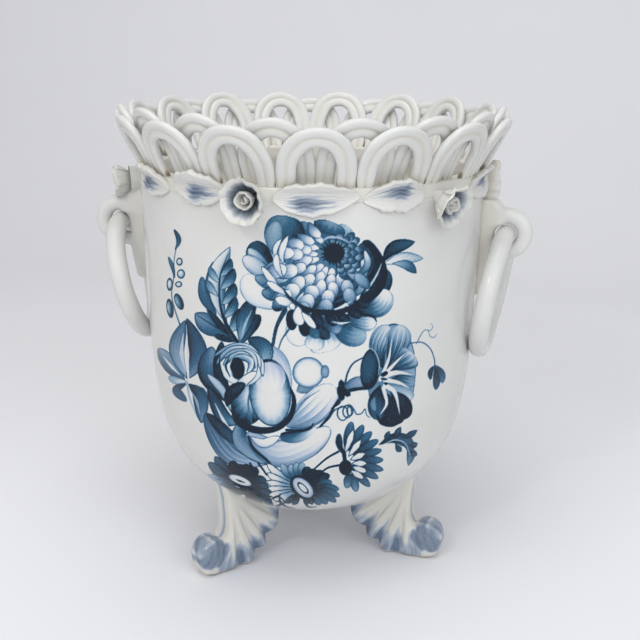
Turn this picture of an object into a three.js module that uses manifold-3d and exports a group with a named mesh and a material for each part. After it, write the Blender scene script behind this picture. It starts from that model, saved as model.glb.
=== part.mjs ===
// Tin-glazed earthenware cachepot: a turned pot on three acanthus feet, with a gallery of
// double-coil arches round its rim, a garland of leaves and roses below it, and two ring handles.
// Millimetres, +Z up. The origin is on the table under the middle of the pot, and +X runs
// through the right-hand handle.
import * as THREE from "three";
import { mergeVertices } from "three/addons/utils/BufferGeometryUtils.js";
import Module from "manifold-3d";

const wasm = await Module();
wasm.setup();

// Luting gap between two pieces that are joined with slip
const seatGap = 0.3;

// Turned pot
const rimHeight = 250;
const rimRadius = 104;
const rimChamfer = 0.8;
const rimCollarDepth = 16;
const rimThickness = 10.7;
const trimAboveRim = 10;
const wallThickness = 7;
const wallAngle = THREE.MathUtils.degToRad(1.63);
const bellyTop = 188;
const bellyBottom = 33;
const bellyPower = 4.2;
const baseRadius = 30;
const potSegments = 48;

// Gallery of interlaced arches: each arch is two coils laid side by side
const archCount = 16;
const coilDiameter = 4.5;
const coilSpacing = 4.1;
const archGap = 0.4;
const archRoundness = 2.4;
const archSettling = 5;
const innerRow = { inset: 8, archHeight: 35.2, lean: THREE.MathUtils.degToRad(26), phase: 0 };
const outerRow = { inset: 2.3, archHeight: 30.6, lean: THREE.MathUtils.degToRad(27), phase: 0.5 };

// Ring handles and the coiled eyes that carry them
const ringRadius = 36.2;
const ringTube = 12;
const ringLean = THREE.MathUtils.degToRad(12.4);
const ringTurn = THREE.MathUtils.degToRad(7);
const ringBelowRim = 110.4;
const eyeCoil = 7.8;
const eyeClearance = 0.6;
const strapLength = 55;
const strapAboveRing = 15.5;
const strapTopWidth = 16;
const strapBottomWidth = 8;
const strapBottomShare = 0.3;

// Acanthus feet
const footAngles = { foot_front_left: -130, foot_front_right: -10, foot_back: 110 };
const footThickness = 16;
const footBevel = 2.8;
const scrollRadius = 9;
const scrollCentre = { radius: 82.2, height: 15.4 };
const scrollWidth = 19;
const soleBehindScroll = 2.2;
const soleLength = 19;
const neckBehindScroll = 14.2;
const neckHeight = 36;
const neckBend = 8;
const heelBehindSole = 32;
const heelHeight = 27;
const heelRise = 12;
const footTopHeight = 66;
const ribSpacing = 9;
const lobeCount = 3;
const lobeBulge = 4.2;
const ribHeight = 1.6;
const ribWidth = 5.2;

// Garland
const leafWidth = 15.5;
const leafThickness = 4.2;
const leafLift = 0.62;
const leafLiftDrop = 2.5;
const leafEnd = 0.14;
const leafFullness = 0.62;
const roseRadius = 12.3;
const roseDepth = 12.5;
const roseStem = 3;
const petalWall = 1.5;
const petalCount = 5;
const petalWave = 0.1;
const budRadius = 3.4;

// Each leaf: angle of its middle round the pot, its drop below the rim and its width as shares of
// leafWidth, the angle it spans and its slope. stand is how far it is built out from the wall.
const leafPlan = [
  { angle: -139.2, drop: 0.25, width: 0.97, span: 18.4, slope: -8 },
  { angle: -113.9, drop: 0.18, width: 1.06, span: 19.3, slope: -4 },
  { angle: -78.2, drop: 0.31, width: 1, span: 24.3, slope: 2 },
  { angle: -54.8, drop: 0.37, width: 1.04, span: 20.8, slope: 3 },
  { angle: -17, drop: 0.3, width: 0.97, span: 18.7, slope: 10 },
];
const sideLeaf = { angle: 1, drop: 0.43, width: 0.95, span: 14.9, slope: 84, stand: 8.5 };

// Each rose: its angle, its drop below the rim as a share of its radius, and how much it droops
const rosePlan = [
  { angle: -97.4, drop: 0.42, droop: 6 },
  { angle: -39, drop: 0.66, droop: 24 },
];
const sideRose = { angle: 180.5, drop: 0.93, droop: -4, stand: 9 };

// Colours of the fired glaze and of the brushed accents
const glaze = 0xd9d9d4;
const brushedLeaf = 0x8d99a8;
const brushedRose = 0x7d8794;
const brushedFoot = 0x8c9bb5;

const pot = new THREE.Group();

function addPiece(name, geometry, color, roughness = 0.16) {
  const mesh = new THREE.Mesh(
    geometry,
    new THREE.MeshStandardMaterial({ color, roughness, metalness: 0 }),
  );
  mesh.name = name;
  pot.add(mesh);
  return mesh;
}

// A point at a radius and an angle round the pot's axis
function around(radius, angle, height) {
  return new THREE.Vector3(radius * Math.cos(angle), radius * Math.sin(angle), height);
}

// Extrudes a section straight by one unit and carries each of its points to place(x, y, t)
function sweep(section, steps, place) {
  const geometry = new THREE.ExtrudeGeometry(section, { depth: 1, steps, bevelEnabled: false });
  const position = geometry.getAttribute("position");
  for (let i = 0; i < position.count; i++) {
    const moved = place(position.getX(i), position.getY(i), position.getZ(i));
    position.setXYZ(i, moved.x, moved.y, moved.z);
  }
  geometry.computeVertexNormals();
  return geometry;
}

// A lathe profile of radius and height, turned about the vertical axis
function turned(profile, segments) {
  return new THREE.LatheGeometry(profile, segments).rotateX(Math.PI / 2);
}

function solidOf(geometry) {
  const bare = geometry.clone();
  bare.deleteAttribute("normal");
  bare.deleteAttribute("uv");
  const merged = mergeVertices(bare, 1e-4);
  return new wasm.Manifold(
    new wasm.Mesh({
      numProp: 3,
      vertProperties: merged.getAttribute("position").array,
      triVerts: new Uint32Array(merged.index.array),
    }),
  );
}

function geometryOf(solid) {
  const mesh = solid.getMesh();
  const geometry = new THREE.BufferGeometry();
  geometry.setAttribute("position", new THREE.BufferAttribute(mesh.vertProperties, 3));
  geometry.setIndex(new THREE.BufferAttribute(mesh.triVerts, 1));
  geometry.computeVertexNormals();
  return geometry;
}

// Outside radius of the tapered wall at a height, without the rounding of the belly
function taperedRadius(height) {
  return rimRadius - Math.tan(wallAngle) * (rimHeight - height);
}

// Outside radius at a height, with the belly's rounding below bellyTop
function outsideRadius(height) {
  const drop = Math.max(0, (bellyTop - height) / (bellyTop - bellyBottom));
  return taperedRadius(height) * Math.sqrt(1 - drop ** bellyPower);
}

// Outside profile of the pot from the axis below to the rim: a flat base disc, a belly that
// rounds in as a superellipse, and a tapered wall
function outsideProfile() {
  const bellySteps = 8;
  const lowestAngle = Math.acos(baseRadius / taperedRadius(bellyBottom));
  const profile = [];
  for (let i = bellySteps; i >= 0; i--) {
    const angle = (lowestAngle * i) / bellySteps;
    const drop = Math.sin(angle) ** (2 / bellyPower);
    const height = bellyTop - (bellyTop - bellyBottom) * drop;
    profile.push(new THREE.Vector2(taperedRadius(height) * Math.cos(angle), height));
  }
  profile.unshift(new THREE.Vector2(0, profile[0].y));
  profile.push(new THREE.Vector2(rimRadius, rimHeight));
  return profile;
}

// The same profile moved square to itself, outwards where distance is positive. Its first two
// points are the flat base, which stays level.
function movedProfile(profile, distance) {
  return profile.map((point, i) => {
    const before = profile[Math.max(i - 1, 0)];
    const after = profile[Math.min(i + 1, profile.length - 1)];
    const along = new THREE.Vector2().subVectors(after, before).normalize();
    const moved = new THREE.Vector2(point.x + along.y * distance, point.y - along.x * distance);
    if (i === 0) moved.x = 0;
    if (i < 2) moved.y = point.y - distance;
    return moved;
  });
}

function potBody() {
  const outside = outsideProfile();
  const rimEdge = outside.pop();
  const inside = movedProfile(outside, -wallThickness).reverse();
  const collarTop = rimHeight - rimCollarDepth;
  const rimInner = rimRadius - rimThickness;
  return turned(
    [
      ...outside,
      new THREE.Vector2(rimEdge.x, rimHeight - rimChamfer),
      new THREE.Vector2(rimEdge.x - rimChamfer, rimHeight),
      new THREE.Vector2(rimInner + rimChamfer, rimHeight),
      new THREE.Vector2(rimInner, rimHeight - rimChamfer),
      new THREE.Vector2(rimInner, (rimHeight + collarTop) / 2),
      new THREE.Vector2(taperedRadius(collarTop) - wallThickness, collarTop),
      ...inside,
    ],
    potSegments,
  );
}

// The space that the pot and the feet of its gallery fill, grown by the luting gap, to trim what
// is luted to the wall
function wallTrimmer() {
  const grown = movedProfile(outsideProfile(), seatGap);
  grown[grown.length - 1].x = rimRadius + seatGap;
  grown.push(new THREE.Vector2(rimRadius + seatGap, rimHeight + trimAboveRim));
  grown.push(new THREE.Vector2(0, rimHeight + trimAboveRim));
  return solidOf(turned(grown, potSegments));
}

// Section of one arch: two coils pressed together, with a groove between them
function doubleCoilSection() {
  const radius = coilDiameter / 2;
  const grooveAngle = THREE.MathUtils.degToRad(145);
  const pointsPerCoil = 5;
  const points = [];
  for (const side of [1, -1]) {
    for (let i = 0; i < pointsPerCoil; i++) {
      const angle = -grooveAngle + (2 * grooveAngle * i) / (pointsPerCoil - 1);
      const x = coilSpacing / 2 + radius * Math.cos(angle);
      points.push(new THREE.Vector2(side * x, side * radius * Math.sin(angle)));
    }
  }
  return new THREE.Shape(points);
}

// One arch of a row. Its middle line is a superellipse on a cone that leans outwards; the feet
// stand square on the rim and the coils take up the lean above them.
function archGeometry(row, angle) {
  const strapHalf = (coilSpacing + coilDiameter) / 2;
  const footRadius = rimRadius - row.inset;
  const pitch = (2 * Math.PI * footRadius) / archCount;
  const halfSpan = (pitch - archGap) / 2 - strapHalf;
  const steps = 8;
  const bend = 2 / archRoundness;

  function middle(t) {
    const turn = Math.PI * t;
    const across = Math.sign(Math.cos(turn)) * Math.abs(Math.cos(turn)) ** bend;
    const up = Math.max(Math.sin(turn), 0) ** bend;
    return new THREE.Vector2(halfSpan * across, row.archHeight * up);
  }

  function direction(t) {
    const stride = 0.5 / steps;
    if (t < stride) return new THREE.Vector2(0, 1);
    if (t > 1 - stride) return new THREE.Vector2(0, -1);
    return new THREE.Vector2().subVectors(middle(t + stride), middle(t - stride)).normalize();
  }

  return sweep(doubleCoilSection(), steps, (x, y, t) => {
    const along = direction(t);
    const across = middle(t).x + x * along.y;
    const up = middle(t).y - x * along.x;
    const lean = row.lean * Math.min(1, Math.max(up, 0) / archSettling);
    const radius = footRadius + up * Math.sin(row.lean) - y * Math.cos(lean);
    const height = rimHeight + seatGap + up * Math.cos(row.lean) + y * Math.sin(lean);
    return around(radius, angle + across / footRadius, height);
  });
}

function addGallery(row, name) {
  for (let i = 0; i < archCount; i++) {
    const angle = (2 * Math.PI * (i + row.phase)) / archCount;
    addPiece(`${name}_${String(i + 1).padStart(2, "0")}`, archGeometry(row, angle), glaze);
  }
}

// Centre of the ring handle's lowest and highest tube section, in the plane of the handle
const ringLow = {
  radius: outsideRadius(rimHeight - ringBelowRim) + seatGap + ringTube / 2,
  height: rimHeight - ringBelowRim,
};
const ringHigh = {
  radius: ringLow.radius + 2 * ringRadius * Math.sin(ringLean),
  height: ringLow.height + 2 * ringRadius * Math.cos(ringLean),
};

// The eye's coil leaves the strap, passes over the ring's tube and comes back to the strap below
function eyeLoop() {
  const loopRadius = (ringTube + eyeCoil) / 2 + eyeClearance;
  const buried = outsideRadius(ringHigh.height) + eyeCoil / 4;
  const points = [new THREE.Vector3(buried, 0, ringHigh.height + loopRadius)];
  const arcSteps = 6;
  for (let i = 0; i <= arcSteps; i++) {
    const angle = Math.PI / 2 - (Math.PI * i) / arcSteps;
    points.push(
      new THREE.Vector3(
        ringHigh.radius + loopRadius * Math.cos(angle),
        0,
        ringHigh.height + loopRadius * Math.sin(angle),
      ),
    );
  }
  points.push(new THREE.Vector3(buried, 0, ringHigh.height - loopRadius));
  const section = new THREE.Shape().absarc(0, 0, eyeCoil / 2, 0, 2 * Math.PI);
  return new THREE.ExtrudeGeometry(section, {
    steps: 14,
    curveSegments: 5,
    extrudePath: new THREE.CatmullRomCurve3(points),
  });
}

// The eye's strap is a wedge of clay between the wall and the ring's tube, and tapers downwards
function eyeStrap() {
  const section = new THREE.Shape(
    [
      [-1, -0.3],
      [1, -0.3],
      [0.8, 0.6],
      [0.3, 1],
      [-0.3, 1],
      [-0.8, 0.6],
    ].map(([x, y]) => new THREE.Vector2(x, y)),
  );
  const top = ringHigh.height + strapAboveRing;
  const front = ringHigh.radius - ringTube / 2 - eyeClearance;
  return sweep(section, 5, (x, y, t) => {
    const height = THREE.MathUtils.lerp(top - strapLength, top, t);
    const width = THREE.MathUtils.lerp(strapBottomWidth, strapTopWidth, t);
    const wall = outsideRadius(height) + seatGap;
    const share = Math.min(1, strapBottomShare + 1.2 * t);
    return new THREE.Vector3(wall + y * (front - wall) * share, (-x * width) / 2, height);
  });
}

function addHandles(trimmer) {
  const eye = solidOf(eyeLoop()).add(solidOf(eyeStrap())).subtract(trimmer);
  const sides = { right: { angle: 0, turn: -ringTurn }, left: { angle: Math.PI, turn: ringTurn } };
  for (const [side, { angle, turn }] of Object.entries(sides)) {
    addPiece(`handle_eye_${side}`, geometryOf(eye).rotateZ(angle), glaze);
    const ring = addPiece(
      `handle_ring_${side}`,
      new THREE.TorusGeometry(ringRadius, ringTube / 2, 8, 24)
        .rotateY(Math.PI / 2)
        .rotateZ(turn)
        .rotateY(ringLean),
      glaze,
    );
    const radius = (ringLow.radius + ringHigh.radius) / 2;
    ring.position.copy(around(radius, angle, (ringLow.height + ringHigh.height) / 2));
    ring.rotation.z = angle;
  }
}

// Where the foot's sole starts, its neck and its heel are, all set back from the scroll of the toe
function footPlan() {
  const sole = scrollCentre.radius - soleBehindScroll;
  const neck = scrollCentre.radius - neckBehindScroll;
  return { sole, neck, heel: sole - soleLength - heelBehindSole };
}

// Side outline of a foot: a concave leg, a scroll for the toe, a flat sole and, on the inner
// side, the lobes of an acanthus leaf
function footOutline() {
  const { sole, neck, heel } = footPlan();
  const outline = new THREE.Shape();
  const scrollStart = THREE.MathUtils.degToRad(140);
  const scrollEnd = THREE.MathUtils.degToRad(-25);
  outline.moveTo(heel + neckBend, footTopHeight);
  outline.lineTo(heel, heelHeight + heelRise);
  outline.lineTo(heel, heelHeight);
  const from = new THREE.Vector2(heel, heelHeight);
  const to = new THREE.Vector2(sole - soleLength, 0);
  const outward = new THREE.Vector2(to.y - from.y, from.x - to.x).normalize();
  for (let i = 0; i < lobeCount; i++) {
    const tip = new THREE.Vector2().lerpVectors(from, to, (i + 0.6) / lobeCount);
    tip.addScaledVector(outward, lobeBulge);
    const end = new THREE.Vector2().lerpVectors(from, to, (i + 1) / lobeCount);
    outline.quadraticCurveTo(tip.x, tip.y, end.x, end.y);
  }
  outline.lineTo(sole, 0);
  outline.quadraticCurveTo(
    scrollCentre.radius + scrollRadius,
    0,
    scrollCentre.radius + scrollRadius * Math.cos(scrollEnd),
    scrollCentre.height + scrollRadius * Math.sin(scrollEnd),
  );
  outline.absarc(
    scrollCentre.radius,
    scrollCentre.height,
    scrollRadius,
    scrollEnd,
    scrollStart,
    false,
  );
  outline.quadraticCurveTo(neck, neckHeight - neckBend, neck, neckHeight);
  outline.quadraticCurveTo(neck, neckHeight + 2 * neckBend, neck + neckBend, footTopHeight);
  return outline;
}

// A rib that runs from the neck of the leg out along one lobe of the leaf
function footRib(index, side) {
  const { sole, neck, heel } = footPlan();
  const from = new THREE.Vector2(neck - ribWidth, neckHeight + neckBend - ribSpacing * index);
  const tipShare = (lobeCount - index - 0.5) / lobeCount;
  const to = new THREE.Vector2(heel, heelHeight).lerp(
    new THREE.Vector2(sole - soleLength, 0),
    tipShare,
  );
  const sideways = new THREE.Vector2(from.y - to.y, to.x - from.x).normalize();
  const section = new THREE.Shape(
    [
      [-0.5, -0.6],
      [0.5, -0.6],
      [0.28, 0.75],
      [-0.28, 0.75],
    ].map(([x, y]) => new THREE.Vector2(x, y)),
  );
  return sweep(section, 2, (x, y, t) => {
    const middle = new THREE.Vector2().lerpVectors(from, to, 0.04 + 0.9 * t);
    const swell = ribWidth * (0.55 + 0.45 * Math.sin(Math.PI * t));
    middle.addScaledVector(sideways, -side * x * swell);
    const depth = footThickness / 2 + y * ribHeight;
    return new THREE.Vector3(middle.x, side * depth, middle.y);
  });
}

function footSolid(trimmer) {
  const leg = new THREE.ExtrudeGeometry(footOutline(), {
    depth: footThickness - 2 * footBevel,
    bevelThickness: footBevel,
    bevelSize: footBevel,
    bevelOffset: -footBevel,
    bevelSegments: 1,
    curveSegments: 3,
  })
    .translate(0, 0, footBevel - footThickness / 2)
    .rotateX(Math.PI / 2);
  const half = scrollWidth / 2;
  const scroll = turned(
    [
      new THREE.Vector2(0, -half),
      new THREE.Vector2(scrollRadius * 0.6, -half),
      new THREE.Vector2(scrollRadius * 0.98, -half * 0.6),
      new THREE.Vector2(scrollRadius * 0.98, half * 0.6),
      new THREE.Vector2(scrollRadius * 0.6, half),
      new THREE.Vector2(0, half),
    ],
    12,
  )
    .rotateX(Math.PI / 2)
    .translate(scrollCentre.radius, 0, scrollCentre.height);
  let foot = solidOf(leg).add(solidOf(scroll));
  for (let i = 0; i < lobeCount; i++) {
    foot = foot.add(solidOf(footRib(i, 1))).add(solidOf(footRib(i, -1)));
  }
  return foot.subtract(trimmer);
}

function addFeet(trimmer) {
  const foot = footSolid(trimmer);
  for (const [name, angle] of Object.entries(footAngles)) {
    const turn = THREE.MathUtils.degToRad(angle);
    addPiece(name, geometryOf(foot).rotateZ(turn), brushedFoot, 0.22);
  }
}

// One garland leaf, pressed on the wall, with a ridge on each side of its middle vein
function leafGeometry({ angle, drop, width, span, slope, stand = 0 }) {
  const section = new THREE.Shape(
    [
      [-1, 0],
      [1, 0],
      [0.68, 0.78],
      [0.3, 1],
      [0, 0.7],
      [-0.3, 1],
      [-0.68, 0.78],
    ].map(([x, y]) => new THREE.Vector2(x, y)),
  );
  const middleAngle = THREE.MathUtils.degToRad(angle);
  const turn = THREE.MathUtils.degToRad(slope);
  const length = THREE.MathUtils.degToRad(span) * rimRadius;
  const middleHeight = rimHeight - drop * leafWidth;
  return sweep(section, 7, (x, y, t) => {
    const outline = leafEnd + (1 - leafEnd) * Math.max(Math.sin(Math.PI * t), 0) ** leafFullness;
    const along = (t - 0.5) * length;
    const up = (x * outline * width * leafWidth) / 2;
    const level = middleHeight + along * Math.sin(turn) + up * Math.cos(turn);
    const across = along * Math.cos(turn) - up * Math.sin(turn);
    const lift = leafLift * Math.max(0, level - rimHeight + leafLiftDrop);
    const back = taperedRadius(level) + seatGap + lift;
    const front = y * (leafThickness * (0.35 + 0.65 * outline) + stand);
    return around(back + front, middleAngle + across / rimRadius, level);
  });
}

// A cup of petals on the vertical axis, with a waved lip
function petalCup(radius, depth, floor, petals, phase) {
  const cup = turned(
    [
      new THREE.Vector2(0, 0),
      new THREE.Vector2(radius * 0.75, depth * 0.25),
      new THREE.Vector2(radius, depth),
      new THREE.Vector2(radius - petalWall, depth * 0.97),
      new THREE.Vector2(radius * 0.75 - petalWall, depth * 0.35),
      new THREE.Vector2(0, floor),
    ],
    petals * 3,
  );
  const position = cup.getAttribute("position");
  for (let i = 0; i < position.count; i++) {
    const x = position.getX(i);
    const y = position.getY(i);
    const z = position.getZ(i);
    const wave = petalWave * Math.cos(petals * Math.atan2(y, x) + phase) * (z / depth);
    position.setXYZ(i, x * (1 + wave), y * (1 + wave), z * (1 + wave));
  }
  return cup;
}

// One garland rose: an outer and an inner cup of petals round a bud, on a short stem
function roseSolid({ angle, drop, droop, stand = 0 }) {
  const stem = seatGap + roseStem + stand;
  const height = rimHeight - drop * roseRadius;
  const outer = solidOf(petalCup(roseRadius, roseDepth, 2.2, petalCount, 0));
  const inner = solidOf(petalCup(roseRadius * 0.62, roseDepth * 0.8, 2.4, 3, 1)).translate([0, 0, 1.6]);
  const bud = solidOf(
    new THREE.SphereGeometry(budRadius, 7, 5).translate(0, 0, roseDepth * 0.42),
  );
  const rootTop = roseDepth * 0.15;
  const rootLength = 1.6 * stem + 2 * rootTop;
  const root = solidOf(
    new THREE.CylinderGeometry(roseRadius * 0.42, roseRadius * 0.5, rootLength, 6)
      .rotateX(Math.PI / 2)
      .translate(0, 0, rootTop - rootLength / 2),
  );
  return outer
    .add(inner)
    .add(bud)
    .add(root)
    .rotate([0, 90 + droop, 0])
    .translate([taperedRadius(height) + stem, 0, height])
    .rotate([0, 0, angle]);
}

function addLeaf(number, leaf) {
  addPiece(`garland_leaf_${String(number).padStart(2, "0")}`, leafGeometry(leaf), brushedLeaf);
}

function addRose(number, rose, trimmer) {
  addPiece(`garland_rose_${number}`, geometryOf(roseSolid(rose).subtract(trimmer)), brushedRose);
}

// The back half of the garland repeats the front half, half a turn round
function addGarland(trimmer) {
  const leafCount = leafPlan.length;
  const roseCount = rosePlan.length;
  leafPlan.forEach((leaf, i) => {
    addLeaf(i + 1, leaf);
    addLeaf(leafCount + i + 2, { ...leaf, angle: leaf.angle + 180 });
  });
  addLeaf(leafCount + 1, sideLeaf);
  rosePlan.forEach((rose, i) => {
    addRose(i + 1, rose, trimmer);
    addRose(roseCount + i + 2, { ...rose, angle: rose.angle + 180 }, trimmer);
  });
  addRose(roseCount + 1, sideRose, trimmer);
}

const trimmer = wallTrimmer();
addPiece("pot_body", potBody(), glaze);
addGallery(innerRow, "inner_arch");
addGallery(outerRow, "outer_arch");
addHandles(trimmer);
addFeet(trimmer);
addGarland(trimmer);

export default pot;
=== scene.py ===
"""Footed cachepot of tin-glazed earthenware: the finished surface of every piece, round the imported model."""
import math

import bpy
import numpy as np
from mathutils import Matrix, Vector


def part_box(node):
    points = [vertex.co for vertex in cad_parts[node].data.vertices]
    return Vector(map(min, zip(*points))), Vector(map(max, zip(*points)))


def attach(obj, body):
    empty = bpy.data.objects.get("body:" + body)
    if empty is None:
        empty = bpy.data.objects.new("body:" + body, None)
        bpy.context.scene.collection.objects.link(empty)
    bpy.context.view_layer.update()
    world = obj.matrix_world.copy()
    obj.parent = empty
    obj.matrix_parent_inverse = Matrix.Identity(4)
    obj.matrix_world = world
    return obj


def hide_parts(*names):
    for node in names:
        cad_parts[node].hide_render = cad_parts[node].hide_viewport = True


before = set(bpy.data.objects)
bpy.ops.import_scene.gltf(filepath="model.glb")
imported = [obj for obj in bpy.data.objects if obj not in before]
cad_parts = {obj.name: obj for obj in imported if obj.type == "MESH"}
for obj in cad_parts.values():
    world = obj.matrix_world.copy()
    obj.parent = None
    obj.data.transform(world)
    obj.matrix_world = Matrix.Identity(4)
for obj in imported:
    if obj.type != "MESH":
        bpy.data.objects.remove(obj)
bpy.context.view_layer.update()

bl_info = {
    "name": "Footed cachepot with coiled gallery",
    "version": (1, 0, 0),
    "blender": (4, 5, 0),
    "location": "View3D > Sidebar > Cachepot",
    "description": "Builds a tin-glazed cachepot with a coiled gallery, garland, ring handles "
                   "and a painted bouquet",
    "category": "Add Mesh",
}

MM = 0.001
RIM_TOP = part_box("pot_body")[1]

# Outline of the turned body. Its belly is a little fuller than the solid's
WALL_TAPER = math.radians(1.63)
BELLY_TOP = 188 * MM
BELLY_BOTTOM = 33 * MM
BELLY_POWER = 4.6
RIM_THICKNESS = 10.7 * MM
RIM_COLLAR = 16 * MM
LUTING_GAP = 0.3 * MM

# What the wheel leaves in the wall: a slow sway and faint throwing rings, each with its depth and its length
SWAY, SWAY_LENGTH = 0.22 * MM, 160 * MM
THROWING_RINGS, THROWING_PITCH = 0.12 * MM, 31 * MM

# Where the fine points that carry the painting lie: from and to this turn, and from this far along the section
# to this far below the rim's edge. The rim itself is left white
PAINTED_TURN = (math.radians(-150), math.radians(-26))
PAINTED_FROM = 46 * MM
PAINTED_BELOW_RIM = 9 * MM
WHITE_RIM = 7 * MM

# Gallery: foot circle, height and lean of each row of arches, the turn of its first arch in arches, and the
# share of its height that the straight legs have. The bend over them is a superellipse of the given power
ARCH_COUNT = 16
ARCH_POWER = 2.12
GALLERY_ROWS = {
    "inner": {"foot": 96 * MM, "height": 35.2 * MM, "lean": math.radians(26), "phase": 0.0, "leg": 0.34},
    "outer": {"foot": 101.7 * MM, "height": 30.6 * MM, "lean": math.radians(27), "phase": 0.5, "leg": 0.26},
}
# How far an arch's two coils lie apart, in coil diameters, the gap between arches, how deep they sink into the
# rim, the height over which they go from upright to their lean, and how high round their feet cream has pooled
# and the slits between their coils are darkened as painted shade
COIL_PITCH = 0.965
ARCH_GAP = 0.4 * MM
ARCH_SUNK = 1.2 * MM
ARCH_SETTLING = 5 * MM
POOLED_AND_SHADED_HEIGHT = 9 * MM

# Handles: the lean that both rings have in the solids, and the lean that each one was luted on with
RING_LEAN = math.radians(12.4)
RING_LEANS = {"right": math.radians(8.8), "left": math.radians(14.0)}
RING_TURN = math.radians(7)
RING_BELOW_RIM = 110.4 * MM
# An eye's clearance round its ring, how deep its ends sink into the wall, and the voxel that fuses it with its
# strap
EYE_CLEARANCE = 0.2 * MM
EYE_SUNK = 1 * MM
EYE_GRAIN = 0.8 * MM
STRAP_LENGTH = 60 * MM
STRAP_ABOVE_RING = 21 * MM
STRAP_FOOT_WIDTH, STRAP_TOP_WIDTH = 8 * MM, 16 * MM

# Feet: turn round the pot in degrees, the voxel that they are cut in, and how deep they sink into the wall
FOOT_TURNS = {"front_left": -130, "front_right": -10, "back": 110}
FOOT_GRAIN = 0.85 * MM
FOOT_SUNK = 2.5 * MM
# A foot's half width, and what its side outline runs round, in millimetres out from the pot's axis and up: the
# scroll, the leg, the sole, and the leaf with its lobes and the bearings of its flutes from the fan's centre
FOOT_HALF_WIDTH = 8.0
SCROLL_CENTRE = (82.2, 15.4)
SCROLL_RADIUS = 9.0
SCROLL_HALF_WIDTH = 8.6
VOLUTE_PITCH = 4.2
SCROLL_LINE = [(80.4, 0), (87.4, 2.8), (90.4, 8.2), (91.2, 15), (89, 21.2), (83, 24.5), (77.2, 23.4),
               (73.6, 21.6)]
LEG_FRONT = [(73.6, 21.6), (70.8, 26.5), (70.0, 33), (70.4, 41), (71.6, 52), (76, 66)]
LEG_BACK = [(37, 66), (27.5, 42)]
SOLE_START = (62, 0)
FAN_CENTRE = (71.0, 55.0)
FLUTE_BEARINGS = (-8, 10, 24.4, 37.2, 55.7, 72)
FLUTE_DEPTH, FINE_FLUTE_DEPTH = 0.95, 0.28
LOBE_NOTCHES = ((30.0, 27.0), (41.0, 15.4), (49.4, 7.6), (61.5, 1.0))
LOBE_BULGES = (3.4, 4.0, 4.8)

# Garland: turn and height of each leaf's middle, its length, width and slope, and how far it stands off the
# wall, in degrees and millimetres
LEAF_PLAN = [
    (-137.0, 246.1, 36.0, 17.6, -8, 0),
    (-113.9, 247.0, 36.0, 19.2, -4, 0),
    (-78.6, 245.2, 45.0, 18.4, 2, 0),
    (-55.6, 244.4, 35.8, 18.4, 183, 0),
    (-14.5, 245.0, 34.0, 17.8, 190, 0),
    (1.0, 240.0, 29.0, 13.6, 84, 5.6),
]
BACK_LEAVES = LEAF_PLAN[:5]
# Leaves above this height turn outwards with the gallery, by this share
LEAF_BENDS_AT, LEAF_BEND = 247.5 * MM, 0.62
# Turn and height of each rose, how far it droops, stands off the wall and is turned aside
ROSE_PLAN = [(-96.6, 245.0, 6, 0, -8), (-40.0, 242.2, 22, 0, 6), (181.5, 236.0, 2, 7.5, 24)]
BACK_ROSES = ROSE_PLAN[:2]

# How many points the pieces are skinned with, along and round them
BELLY_POINTS, WALL_POINTS = 500, 120
ARCH_POINTS, LEG_POINTS, COIL_SIDES = 51, 8, 17
RING_POINTS, RING_SIDES = 112, 24
EYE_POINTS, EYE_SIDES = 60, 20
STRAP_POINTS, STRAP_SIDES = 46, 32
LEAF_POINTS, LEAF_FRONT_POINTS, LEAF_BACK_POINTS = 60, 35, 12
PETAL_POINTS, PETAL_SIDE_POINTS = 18, 17

# Where the reference view stands, how far to the right of the pot's axis, and how it is turned
VIEW_DISTANCE = 598.4 * MM
VIEW_HEIGHT = 324.5 * MM
VIEW_SIDE = 5.4 * MM
VIEW_TURN = math.radians(9.8)
VIEW_PITCH = math.radians(16.23)
VIEW_ROLL = math.radians(0.59)
# Its focal length in picture widths, fitted as 980 pixels on a picture of 640
FOCAL_IN_PICTURES = 980 / 640
SENSOR_WIDTH = 36

# The cartoon sheet: the bouquet is drawn in millimetres on a flat sheet this far in front of the painter's eye,
# and each stroke falls on the wall behind it
SHEET_DISTANCE = 588.0
SHEET_CORNERS = ((-106, -118), (80, 66))

# Studio: where the floor begins, bends up and ends, and each soft light's place, size, power in watts and tone
FLOOR_HALF_WIDTH = 2.4
FLOOR_FRONT, FLOOR_BEND, BEND_RADIUS, FLOOR_TOP = -1.6, 0.7, 0.6, 2.4
LIGHTS_AIM = Vector((0, 0, 0.13))
STUDIO_LIGHTS = {
    "soft_key": ((-0.9, -1.3, 1.3), 0.8, 4.2, "#fffefb"),
    "small_key": ((-0.35, -1.1, 1.0), 0.11, 1.7, "#ffffff"),
    "soft_fill": ((1.2, -1.3, 0.9), 1.1, 8.0, "#f2f7fd"),
    "soft_front": ((0.1, -1.4, 0.9), 1.2, 5.4, "#fbfdff"),
    "soft_top": ((0.0, -0.35, 1.8), 1.2, 11.6, "#ffffff"),
}
ROOM_TONE, ROOM_STRENGTH = "#f8f8f8", 0.42


def linear(hex_colour):
    """The linear red, green, blue and alpha of an sRGB hex colour."""
    channels = [int(hex_colour[i:i + 2], 16) / 255 for i in (1, 3, 5)]
    return (*(c / 12.92 if c <= 0.04045 else ((c + 0.055) / 1.055) ** 2.4 for c in channels), 1.0)


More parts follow.
